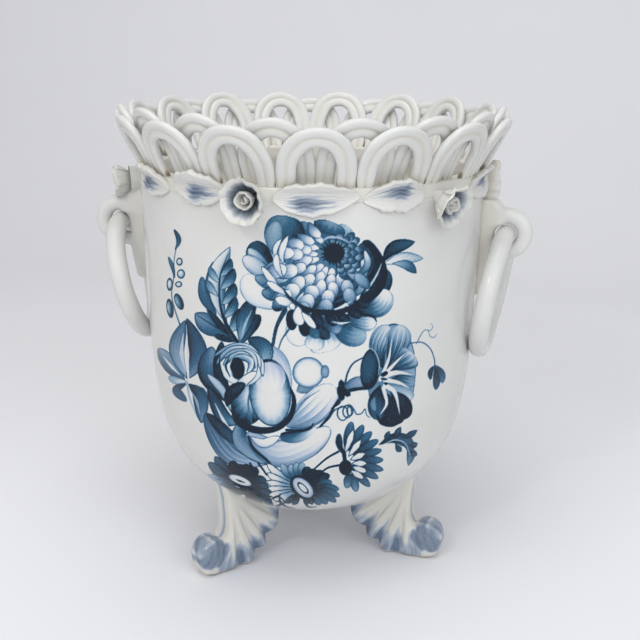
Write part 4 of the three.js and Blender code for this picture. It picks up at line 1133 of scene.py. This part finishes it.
class POT_OT_gallery(bpy.types.Operator):
    """Stands the two rows of interlaced double-coil arches on the rim"""
    bl_idname = "pot.gallery"
    bl_label = "Gallery"

    def execute(self, context):
        for row_number, (row_name, row) in enumerate(GALLERY_ROWS.items()):
            for i in range(ARCH_COUNT):
                turn = 2 * math.pi * (i + row["phase"]) / ARCH_COUNT
                rows, cream = gallery_arch(row, turn, 100 * row_number + i)
                arch = skin(f"{row_name}_coil_arch_{i + 1:02d}", rows)
                set_values(arch, "cream", cream)
                settle(arch, f"{row_name}_arch_{i + 1:02d}", white_glaze())
        return {"FINISHED"}


def tube(path, radii, sides):
    """Rows of points round a path that lies in the plane of X and Z."""
    direction = unit_slopes(path)
    normal = np.stack([-direction[:, 2], np.zeros(len(path)), direction[:, 0]], axis=1)
    turn = np.linspace(0, 2 * math.pi, sides, endpoint=False)
    sideways = np.array([0, 1, 0])
    ring = np.cos(turn)[None, :, None] * normal[:, None, :] + np.sin(turn)[None, :, None] * sideways
    return path[:, None, :] + ring * np.asarray(radii)[:, None, None]


def turned_about(points, angle):
    """Points turned about the pot's axis."""
    c, s = math.cos(angle), math.sin(angle)
    x, y = points[..., 0], points[..., 1]
    return np.stack([c * x - s * y, s * x + c * y, points[..., 2]], axis=-1)


def ring_rows(seed):
    """Rows of points over a ring handle, upright and facing along X, with the slight unevenness of a rolled
    coil."""
    sizes = bpy.context.scene.pot_sizes
    turn = np.linspace(0, 2 * math.pi, RING_POINTS, endpoint=False)
    share = turn / (2 * math.pi)
    ring = sizes.ring_radius * (1 - 0.012 * (1 + waves(2 * share, seed, 1)))
    thick = sizes.ring_tube / 2 * (1 - 0.03 * (1 + waves(4 * share, seed + 1, 2)))
    around = np.linspace(0, 2 * math.pi, RING_SIDES, endpoint=False)
    reach = ring[:, None] + thick[:, None] * np.cos(around)
    return np.stack([thick[:, None] * np.sin(around), reach * np.sin(turn)[:, None],
                     reach * np.cos(turn)[:, None]], axis=-1)


def eye_parts(ring_lean):
    """Rows of points of an eye's coil and of its strap on the wall, for the handle on the X axis. The strap is
    hollowed where the ring lies against it."""
    sizes = bpy.context.scene.pot_sizes
    ring_low = sizes.rim_height - RING_BELOW_RIM
    low = outside_radius(ring_low) + LUTING_GAP + sizes.ring_tube / 2
    top_radius = low + 2 * sizes.ring_radius * math.sin(ring_lean)
    top_height = ring_low + 2 * sizes.ring_radius * math.cos(ring_lean)
    loop = (sizes.ring_tube + sizes.eye_coil) / 2 + EYE_CLEARANCE
    buried = wall_radius(top_height) + EYE_SUNK
    points = [(buried, 0, top_height + loop + 0.5 * MM)]
    for angle in np.linspace(math.pi / 2, -math.pi / 2, 7):
        points.append((top_radius + loop * math.cos(angle), 0, top_height + loop * math.sin(angle)))
    points.append((buried, 0, top_height - loop - 2 * MM))
    path = curve_through(points, EYE_POINTS)
    share = np.linspace(0, 1, EYE_POINTS)
    coil = tube(path, sizes.eye_coil / 2 * (1.0 - 0.1 * share ** 2), EYE_SIDES)
    t = np.linspace(0, 1, STRAP_POINTS)
    height = top_height + STRAP_ABOVE_RING + STRAP_LENGTH * (t - 1)
    width = STRAP_FOOT_WIDTH + (STRAP_TOP_WIDTH - STRAP_FOOT_WIDTH) * np.sin(0.5 * math.pi * t)
    width = width * np.clip(10 * t, 0, 1) ** 0.5
    hollow = sizes.ring_tube / 2 + EYE_CLEARANCE
    above = np.clip(height - top_height, 0, hollow)
    stand = top_radius - np.sqrt(hollow ** 2 - above ** 2) - wall_radius(height)
    tip = np.clip(t / 0.06, 0, 1) * (2 - np.clip(t / 0.06, 0, 1))
    thick = stand * np.minimum(1, 0.8 + 0.6 * t) * (0.3 + 0.7 * tip)
    thick = thick * (1 - 0.35 * np.clip((t - 0.85) / 0.15, 0, 1) ** 2) + 0.5 * MM * waves(2 * t, 8, 2)
    turn = np.linspace(0, 2 * math.pi, STRAP_SIDES, endpoint=False)
    across = np.sign(np.cos(turn)) * np.abs(np.cos(turn)) ** 0.75 * width[:, None] / 2
    crown = np.where(np.sin(turn) > 0, 1 - 0.1 * np.exp(-(np.cos(turn) / 0.25) ** 2), 0.12)
    out = np.sign(np.sin(turn)) * np.abs(np.sin(turn)) ** 0.8 * thick[:, None] * crown[None, :]
    strap = np.stack([outside_radius(height)[:, None] + out, -across,
                      np.broadcast_to(height[:, None], out.shape)], -1)
    return coil, strap


class POT_OT_handles(bpy.types.Operator):
    """Hangs the two ring handles in their coiled eyes"""
    bl_idname = "pot.handles"
    bl_label = "Handles"

    def execute(self, context):
        ring_radius = context.scene.pot_sizes.ring_radius
        for number, (side, angle) in enumerate({"right": 0.0, "left": math.pi}.items()):
            ring_lean = RING_LEANS[side]
            points, faces = [], []
            for part in eye_parts(ring_lean):
                part = turned_about(part, angle)
                faces += skin_faces(part.shape[0], part.shape[1], first=len(points))
                points += [*part.reshape(-1, 3), part[0].mean(0), part[-1].mean(0)]
            eye = fuse(new_piece(f"coiled_eye_{side}", points, faces), EYE_GRAIN, 8)
            places = points_of(eye)
            outward = np.hypot(places[:, 0], places[:, 1]) - wall_radius(places[:, 2])
            # Cream towards the wall: painted shade where the eye and its strap meet the wall
            set_values(eye, "cream", 0.5 * np.clip(1 - outward / (16 * MM), 0, 1))
            settle(eye, f"handle_eye_{side}", white_glaze())
            low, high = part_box(f"handle_ring_{side}")
            ring = ring_rows(20 + number)
            swing = -RING_TURN if side == "right" else RING_TURN
            lean = np.array(Matrix.Rotation(ring_lean, 3, "Y") @ Matrix.Rotation(swing, 3, "Z"))
            # its own lean turns the ring about its foot, where the solid's ring touches the wall too
            pulled = ring_radius * np.array([
                math.sin(ring_lean) - math.sin(RING_LEAN), 0, math.cos(ring_lean) - math.cos(RING_LEAN)])
            ring = turned_about(ring @ lean.T + pulled, angle) + np.array((low + high) / 2)
            piece = skin(f"ring_handle_{side}", ring, looped=True, capped=False)
            settle(piece, f"handle_ring_{side}", white_glaze())
        return {"FINISHED"}


def distances_to(points, outline):
    """Distance of points in a plane to a closed outline of short segments."""
    best = np.full(len(points), np.inf)
    for a, b in zip(outline, np.roll(outline, -1, axis=0)):
        span = b - a
        share = np.clip(((points - a) @ span) / max(span @ span, 1e-12), 0, 1)
        best = np.minimum(best, np.linalg.norm(points - a - share[:, None] * span, axis=1))
    return best


def inside_of(points, outline):
    """Which points in a plane lie inside a closed outline."""
    found = np.zeros(len(points), bool)
    x, y = points[:, 0], points[:, 1]
    for (ax, ay), (bx, by) in zip(outline, np.roll(outline, -1, axis=0)):
        crosses = (ay > y) != (by > y)
        if ay != by:
            found ^= crosses & (x < (bx - ax) * (y - ay) / (by - ay) + ax)
    return found


def foot_outline():
    """Side outline of a foot in millimetres: the back of the leg, three leaf lobes down its inner side, the
    flat sole, the scroll that flows out of it, and the leg's concave front."""
    lobes = []
    for start, end, bulge in zip(LOBE_NOTCHES, LOBE_NOTCHES[1:], LOBE_BULGES):
        start, end = np.array(start), np.array(end)
        outward = np.array([end[1] - start[1], start[0] - end[0]]) / np.linalg.norm(end - start)
        for s in np.linspace(0, 0.95, 11):
            lobes.append(start + (end - start) * s + outward * bulge * math.sin(math.pi * s ** 1.1) ** 0.6)
    scroll, front = curve_through(SCROLL_LINE, 40), curve_through(LEG_FRONT, 24)[1:]
    return np.vstack([LEG_BACK, lobes, [SOLE_START], scroll, front])


def foot_relief(places):
    """Half width of the foot at places of its side view: rounded at the outline, fuller at the scroll, and
    fluted along the lobes of the leaf. Also how far each place is in a flute and on a lobe's tip, and how far
    from the scroll's centre."""
    outline = foot_outline()
    depth = distances_to(places, outline) * inside_of(places, outline)
    pillow = np.sqrt(1 - (1 - np.clip(depth / 5.5, 0, 1)) ** 2)
    flat_front = np.clip((places[:, 0] - 61) / 6, 0, 1) * np.clip((places[:, 1] - 16) / 8, 0, 1)
    blunt = 0.42 + 0.4 * flat_front
    half = FOOT_HALF_WIDTH * (blunt + (1 - blunt) * pillow)
    from_fan = places - np.array(FAN_CENTRE)
    reach = np.linalg.norm(from_fan, axis=1)
    bearing = np.degrees(np.arctan2(-from_fan[:, 0], -from_fan[:, 1]))
    fluted = np.clip((reach - 14) / 18, 0, 1) * np.clip((bearing + 16) / 10, 0, 1)
    phase = np.interp(bearing, FLUTE_BEARINGS, range(-1, len(FLUTE_BEARINGS) - 1))
    flute = np.cos(2 * math.pi * phase)
    fine = np.cos(6 * math.pi * phase)
    half = half + fluted * (FINE_FLUTE_DEPTH * fine - FLUTE_DEPTH * flute) * np.clip(depth / 2.0, 0.25, 1)
    to_scroll = places - np.array(SCROLL_CENTRE)
    scroll_reach = np.linalg.norm(to_scroll, axis=1)
    scroll = SCROLL_HALF_WIDTH * np.sqrt(np.clip(1 - (scroll_reach / (SCROLL_RADIUS + 1.2)) ** 2, 0, 1))
    around = np.arctan2(to_scroll[:, 1], to_scroll[:, 0])
    volute = np.cos(2 * math.pi * scroll_reach / VOLUTE_PITCH - around)
    scroll = scroll + 0.55 * volute * (scroll_reach < SCROLL_RADIUS)
    half = 0.5 * (half + scroll + np.sqrt((half - scroll) ** 2 + 2.0))
    tip = np.clip((reach - 33) / 14, 0, 1) * np.clip((bearing + 14) / 12, 0, 1)
    return half, fluted * np.clip(flute, 0, 1), tip, scroll_reach


def foot_slab():
    """A flat slab with the foot's side outline, cut fine enough to be carved."""
    outline = foot_outline()
    even = along_path(np.vstack([outline, outline[:1]]), np.arange(0, path_lengths(outline)[-1], 0.8))
    slab = np.stack([even[:, 0], np.zeros(len(even)), even[:, 1]], axis=1) * MM
    points = np.vstack([slab + np.array([0, side * FOOT_HALF_WIDTH * MM, 0]) for side in (1, -1)])
    count = len(even)
    faces = [list(range(count))[::-1], list(range(count, 2 * count))]
    faces += [[i, (i + 1) % count, count + (i + 1) % count, count + i] for i in range(count)]
    return fuse(new_piece("foot_model", points, faces), FOOT_GRAIN, 2)


def foot_brushwork(flat, across, flute, tip, scroll_reach):
    """The blue on a foot, patchy and scratchy as from a half-dry brush: on the scroll, in the flutes, on the
    tips of the lobes and in a line down the front. Also how far the glaze is worn off at the sole."""
    fan = flat - np.array(FAN_CENTRE)
    bearing = np.arctan2(-fan[:, 0], -fan[:, 1])
    out, up = flat.T
    patchy = 0.6 * waves(3.2 * bearing + 0.3 * np.sin(up / 6), 71, 3)
    patchy = patchy + 0.4 * waves((up + 0.5 * out) / 15 + 0.5 * across, 72, 2)
    scratchy = waves(9 * bearing + 0.2 * np.sin(up / 3) + across, 73, 3)
    ball = np.clip((SCROLL_RADIUS + 1.5 + 2 * patchy - scroll_reach) / 2, 0, 1)
    ball = ball * (0.84 + 0.1 * patchy + 0.12 * scratchy)
    blue = 0.75 * flute * np.clip(tip + 0.15, 0, 1) + np.clip(tip - 0.25, 0, 1)
    blue = blue + 0.26 * patchy + 0.3 * scratchy - 0.22
    blue = np.clip(np.maximum(blue * np.clip((48 - up) / 26, 0, 1), ball), 0, 1)
    face = np.clip((out - 64) / 3, 0, 1) * (up > 20) * (out < 74)
    blue = np.maximum(blue, 0.55 * face * np.exp(-(across / 0.22) ** 2))
    return blue, np.clip(1 - up / 2.2, 0, 1)


def kept_in_wall(points, radius, profile):
    """Draws points that lie deeper in the pot than its wall allows back to just under its outer face."""
    place = np.stack([radius, points[:, 2]], axis=1)
    coarse = profile[::8]
    closest = np.linalg.norm(place[:, None, :] - coarse[None, :, :], axis=2).argmin(1)
    slope = unit_slopes(coarse)
    outward = np.stack([slope[:, 1], -slope[:, 0]], axis=1)[closest]
    depth = ((coarse[closest] - place) * outward).sum(1)
    low = points[:, 2] < profile[0, 1]
    push = np.where((depth > FOOT_SUNK) & ~low, depth - FOOT_SUNK, 0)
    moved = place + outward * push[:, None]
    scale = np.where(radius > 1e-6, moved[:, 0] / np.maximum(radius, 1e-6), 1)
    return np.stack([points[:, 0] * scale, points[:, 1] * scale, moved[:, 1]], axis=1)


class POT_OT_feet(bpy.types.Operator):
    """Presses the three acanthus feet"""
    bl_idname = "pot.feet"
    bl_label = "Acanthus feet"

    def execute(self, context):
        model = foot_slab()
        places = points_of(model)
        flat = places[:, [0, 2]] / MM
        half, flute, tip, scroll_reach = foot_relief(flat)
        across = places[:, 1] / (FOOT_HALF_WIDTH * MM)
        places[:, 1] = across * half * MM
        lower_front = (flat[:, 0] > 62) & (flat[:, 1] > 18)
        ridge = np.cos(2 * math.pi * across * 0.9) * lower_front * np.clip((flat[:, 0] - 64) / 4, 0, 1)
        places[:, 0] -= 0.7 * MM * np.clip(ridge, 0, 1)
        places[:, 2] = np.clip(places[:, 2], 0, None)
        radius = np.hypot(places[:, 0], places[:, 1])
        blue, worn = foot_brushwork(flat, across, flute, tip, scroll_reach)
        profile = outside_profile()
        full = context.scene.glaze_colours.foot_blue
        glaze = brushed_glaze("tin_glaze_brushed_on_feet", linear("#9ba6b4"), full)
        for name, degrees in FOOT_TURNS.items():
            foot = model.copy()
            foot.data = model.data.copy()
            foot.name = foot.data.name = f"acanthus_foot_{name}"
            context.scene.collection.objects.link(foot)
            move_points(foot, kept_in_wall(turned_about(places, math.radians(degrees)), radius, profile))
            set_values(foot, "cobalt", np.clip(blue - 1.5 * worn, 0, 1))
            set_values(foot, "cream", np.clip(0.85 * worn + 0.3, 0, 1))
            settle(foot, f"foot_{name}", glaze)
        bpy.data.objects.remove(model)
        return {"FINISHED"}


def leaf_rows(degrees, height, length, width, slope, stand, seed):
    """Rows of points over one pressed leaf, with the blue in its hollow and the cream at its edge, painted
    shade where it meets the wall. Its edge is thick and wavy and its middle hollow, with fine veins along it. A
    leaf that stands off the wall has clay behind it. Height, length, width and stand are in millimetres."""
    rng = np.random.default_rng(seed)
    t = np.linspace(0, 1, LEAF_POINTS)
    lean = rng.uniform(-0.06, 0.06)
    outline = np.clip(np.sin(math.pi * t ** (0.86 + lean)), 0, None) ** 0.66
    # over the front from edge to edge, and back behind it
    x = np.concatenate([np.linspace(-1, 1, LEAF_FRONT_POINTS), np.linspace(1, -1, LEAF_BACK_POINTS + 2)[1:-1]])
    front = np.arange(len(x)) < LEAF_FRONT_POINTS
    upper = outline * (1 + 0.13 * waves(3.4 * t, seed, 2))
    lower = outline * (1 + 0.09 * waves(3.6 * t, seed + 9, 3))
    along = (t[:, None] - 0.5) * length * MM
    up = np.where(x[None, :] > 0, upper[:, None], lower[:, None]) * x[None, :] * width * MM / 2
    bow = 1.2 * MM * np.sin(math.pi * t)[:, None] * rng.uniform(-1, 1)
    turn = math.radians(slope)
    level = height * MM + along * math.sin(turn) + (up + bow) * math.cos(turn)
    across = along * math.cos(turn) - up * math.sin(turn)
    lift = LEAF_BEND * np.clip(level - LEAF_BENDS_AT, 0, None)
    edge = np.clip((1 - np.abs(x)) / 0.16, 0, 1) ** 0.5
    hollow = np.exp(-((x + 0.12) / 0.55) ** 2)
    rise = np.sin(math.pi * t)[:, None] ** 0.5
    veins = np.cos(2 * math.pi * (4.2 * x[None, :] + 0.6 * waves(1.5 * t, seed + 1, 2)[:, None]))
    relief = 4.2 * edge[None, :] - 3.0 * hollow[None, :] * rise + 0.42 * veins * hollow[None, :] * rise
    full = 0.3 + 0.7 * outline[:, None]
    relief = np.where(front[None, :], (stand + relief) * full, -0.6)
    radius = wall_radius(level) + lift + relief * MM
    angle = math.radians(degrees) + across / bpy.context.scene.pot_sizes.rim_radius
    rows = np.stack([radius * np.cos(angle), radius * np.sin(angle), level], axis=-1)
    from_left = t[:, None] - rng.uniform(0.33, 0.42)
    reach = np.where(from_left < 0, 0.14, 0.34) * (1 + 0.6 * waves(2.6 * x, seed + 4, 3))[None, :]
    middle = np.exp(-np.abs(from_left / reach) ** 2)
    blue = middle * np.exp(-((x[None, :] + 0.25) / 0.5) ** 2) * (0.95 + 0.2 * veins)
    blue = np.where(front[None, :], np.clip(1.1 * blue - 0.22, 0, 1), 0)
    # cream: faint over the front, and painted shade at the edge where the leaf meets the wall and on its back
    cream = np.broadcast_to(np.where(front, 0.1 + 0.4 * (np.abs(x) > 0.95), 0.5), blue.shape)
    return rows, blue, cream


def petal_rows(start, seed, radius, depth, spread, lip, thickness, wash):
    """Rows of points over one petal of a rose, a curved shell round the vertical axis, in millimetres, with the
    blue at each. The last rows roll outwards as the lip. wash is how full the blue is inside it."""
    rng = np.random.default_rng(seed)
    s = np.linspace(0, 1, PETAL_POINTS)
    profile_radius = radius * (0.22 + 0.78 * np.sin(0.5 * math.pi * np.clip(s * 1.12, 0, 1)) ** 0.8)
    profile_radius = profile_radius + lip * np.clip((s - 0.68) / 0.32, 0, 1) ** 1.5
    side = np.linspace(-1, 1, PETAL_SIDE_POINTS)
    sweep = np.concatenate([side, side[::-1][1:-1]])
    inner = np.arange(len(sweep)) >= len(side)
    narrow = 0.55 + 0.45 * np.sin(0.5 * math.pi * s) ** 0.7
    turn = start + sweep[None, :] * spread / 2 * narrow[:, None]
    fall = 1 - 0.22 * np.abs(sweep[None, :]) ** 2.4 + 0.06 * waves(sweep[None, :] * 0.8, seed, 2)
    thick = np.where(inner, thickness, 0)[None, :] * (1 - 0.2 * s[:, None])
    reach = profile_radius[:, None] * (1 + 0.05 * waves(sweep[None, :], seed + 1, 2) * s[:, None]) - thick
    height = depth * s[:, None] * fall + rng.uniform(-0.3, 0.3)
    rows = np.stack([reach * np.cos(turn), reach * np.sin(turn), height + np.where(inner, 0.3, 0)[None, :]], -1)
    # the first and last rows close on the point across the shell, so that the petal has no hole
    partner = -np.arange(rows.shape[1]) % rows.shape[1]
    rows[0] = (rows[0] + rows[0, partner]) / 2
    rows[-1] = (rows[-1] + rows[-1, partner]) / 2 + 0.35 * (rows[-1] - rows[-2])
    brush = waves(sweep[None, :] * 1.7 + 0.3 * s[:, None], seed + 8, 3)
    inside = np.clip(wash - 1.5 * s[:, None] ** 4 + 0.16 * brush, 0, 1)
    blue = np.where(inner[None, :], inside, np.clip(0.1 - 0.4 * s[:, None] + 0.12 * brush, 0, 1))
    return rows, blue


def cupped_rose(name, degrees, height, droop, stand, aside, seed):
    """One rose: a bowl of five petals with thick lips round three inner ones and a bud, on a short stem."""
    bowl, lip = (8.8, 1.0) if stand else (10.2, 2.4)
    # count, turn and first seed of each round's petals, and their radius, depth, spread, lip, thickness, wash
    rounds = ((5, 0.3 * seed, 10 * seed, bowl, 12.0, 1.72, lip, 2.0, 0.95),
              (3, 0.7 * seed, 30 * seed, 4.9, 10.4, 2.5, 0.2, 1.5, 0.3),
              (1, seed, 50 * seed, 2.2, 9.4, 5.6, -0.2, 1.2, 0.2))
    petals = [petal_rows(k * 2 * math.pi / count + turn, first + k, *shape)
              for count, turn, first, *shape in rounds for k in range(count)]
    t = np.linspace(0, 1, 8)[:, None]
    around = np.linspace(0, 2 * math.pi, 20, endpoint=False)[None, :]
    thick = 3 + 0.45 * stand + 2.5 * t
    stem = np.stack(np.broadcast_arrays(
        thick * np.cos(around), thick * np.sin(around), 2.5 - (stand + 6) * (1 - t)), axis=-1)
    petals.append((stem, np.zeros(stem.shape[:2])))
    points, faces, blues = [], [], []
    for rows, blue in petals:
        faces += skin_faces(rows.shape[0], rows.shape[1], capped=False, first=len(points))
        points += list(rows.reshape(-1, 3))
        blues += list(blue.ravel())
    points = np.array(points) * MM
    tilt = Matrix.Rotation(math.radians(aside), 3, "Z") @ Matrix.Rotation(math.radians(90 + droop), 3, "Y")
    foot = np.array([wall_radius(height * MM) + (2.4 + stand) * MM, 0, height * MM])
    points = points @ np.array(tilt).T + foot
    rose = new_piece(name, turned_about(points, math.radians(degrees)), faces)
    set_values(rose, "cobalt", blues)
    set_values(rose, "cream", np.full(len(points), 0.15))
    return rose


class POT_OT_garland(bpy.types.Operator):
    """Presses the garland of leaves and cupped roses on the wall"""
    bl_idname = "pot.garland"
    bl_label = "Garland"

    def execute(self, context):
        leaf_number = rose_number = 0
        colours = context.scene.glaze_colours
        leaf_glaze = brushed_glaze("tin_glaze_brushed_on_leaves", linear("#8b96a5"), colours.leaf_blue)
        rose_glaze = brushed_glaze("tin_glaze_brushed_in_roses", linear("#a0a6ac"), colours.rose_blue)
        for half_turn, leaves, roses in ((0, LEAF_PLAN, ROSE_PLAN), (180, BACK_LEAVES, BACK_ROSES)):
            for degrees, *plan in leaves:
                leaf_number += 1
                rows, blue, cream = leaf_rows(degrees + half_turn, *plan, 40 + leaf_number)
                leaf = skin(f"pressed_leaf_{leaf_number:02d}", rows)
                set_values(leaf, "cobalt", blue)
                set_values(leaf, "cream", cream)
                settle(leaf, f"garland_leaf_{leaf_number:02d}", leaf_glaze)
            for degrees, *plan in roses:
                rose_number += 1
                rose = cupped_rose(f"cupped_rose_{rose_number}", degrees + half_turn, *plan, rose_number)
                settle(rose, f"garland_rose_{rose_number}", rose_glaze)
        return {"FINISHED"}


class POT_OT_stage(bpy.types.Operator):
    """Lays the pale floor, hangs the soft studio light and sets the camera"""
    bl_idname = "pot.stage"
    bl_label = "Stage"

    def execute(self, context):
        bend = [(FLOOR_BEND + BEND_RADIUS * math.sin(a), BEND_RADIUS * (1 - math.cos(a)))
                for a in np.linspace(0, math.pi / 2, 24)]
        depth = [(FLOOR_FRONT, 0), (FLOOR_BEND, 0), *bend, (FLOOR_BEND + BEND_RADIUS, FLOOR_TOP)]
        rows = np.array([[(x, y, z) for x in (-FLOOR_HALF_WIDTH, FLOOR_HALF_WIDTH)] for y, z in depth])
        floor = skin("studio_floor", rows, closed=False, capped=False)
        floor.data.materials.append(matt_paper())
        for name, (place, size, power, tone) in STUDIO_LIGHTS.items():
            lamp = bpy.data.lights.new(name, "AREA")
            lamp.size = size
            lamp.energy = power
            lamp.color = linear(tone)[:3]
            holder = bpy.data.objects.new(name, lamp)
            context.scene.collection.objects.link(holder)
            holder.location = place
            holder.rotation_euler = (LIGHTS_AIM - Vector(place)).to_track_quat("-Z", "Y").to_euler()
        world = bpy.data.worlds.new("studio")
        world.use_nodes = True
        room = world.node_tree.nodes["Background"].inputs
        room["Color"].default_value = linear(ROOM_TONE)
        room["Strength"].default_value = ROOM_STRENGTH
        context.scene.world = world
        context.scene.view_settings.view_transform = "Standard"
        camera = bpy.data.cameras.new("reference_view")
        camera.sensor_width = SENSOR_WIDTH
        camera.lens = SENSOR_WIDTH * FOCAL_IN_PICTURES
        holder = bpy.data.objects.new("reference_view", camera)
        context.scene.collection.objects.link(holder)
        place, turned = reference_view()
        holder.matrix_world = Matrix.Translation(place) @ turned.to_4x4()
        context.scene.camera = holder
        return {"FINISHED"}


class POT_PT_panel(bpy.types.Panel):
    """Lists the pot's pieces in the sidebar"""
    bl_label = "Cachepot"
    bl_space_type = "VIEW_3D"
    bl_region_type = "UI"
    bl_category = "Cachepot"

    def draw(self, context):
        for group in (context.scene.pot_sizes, context.scene.glaze_colours):
            for name in group.__annotations__:
                self.layout.prop(group, name)
        for step in STEPS:
            self.layout.operator(step.bl_idname)


STEPS = (POT_OT_stage, POT_OT_body, POT_OT_gallery, POT_OT_handles, POT_OT_feet, POT_OT_garland)
CLASSES = (PotSizes, GlazeColours, *STEPS, POT_PT_panel)


def register():
    """Registers the classes and hangs the pot's settings on the scene."""
    for item in CLASSES:
        bpy.utils.register_class(item)
    bpy.types.Scene.pot_sizes = bpy.props.PointerProperty(type=PotSizes)
    bpy.types.Scene.glaze_colours = bpy.props.PointerProperty(type=GlazeColours)


def unregister():
    """Takes the pot's settings and classes away again."""
    del bpy.types.Scene.glaze_colours
    del bpy.types.Scene.pot_sizes
    for item in reversed(CLASSES):
        bpy.utils.unregister_class(item)


def main():
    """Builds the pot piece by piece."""
    register()
    bpy.ops.pot.stage()
    bpy.ops.pot.body()
    bpy.ops.pot.gallery()
    bpy.ops.pot.handles()
    bpy.ops.pot.feet()
    bpy.ops.pot.garland()


if __name__ == "__main__":
    main()
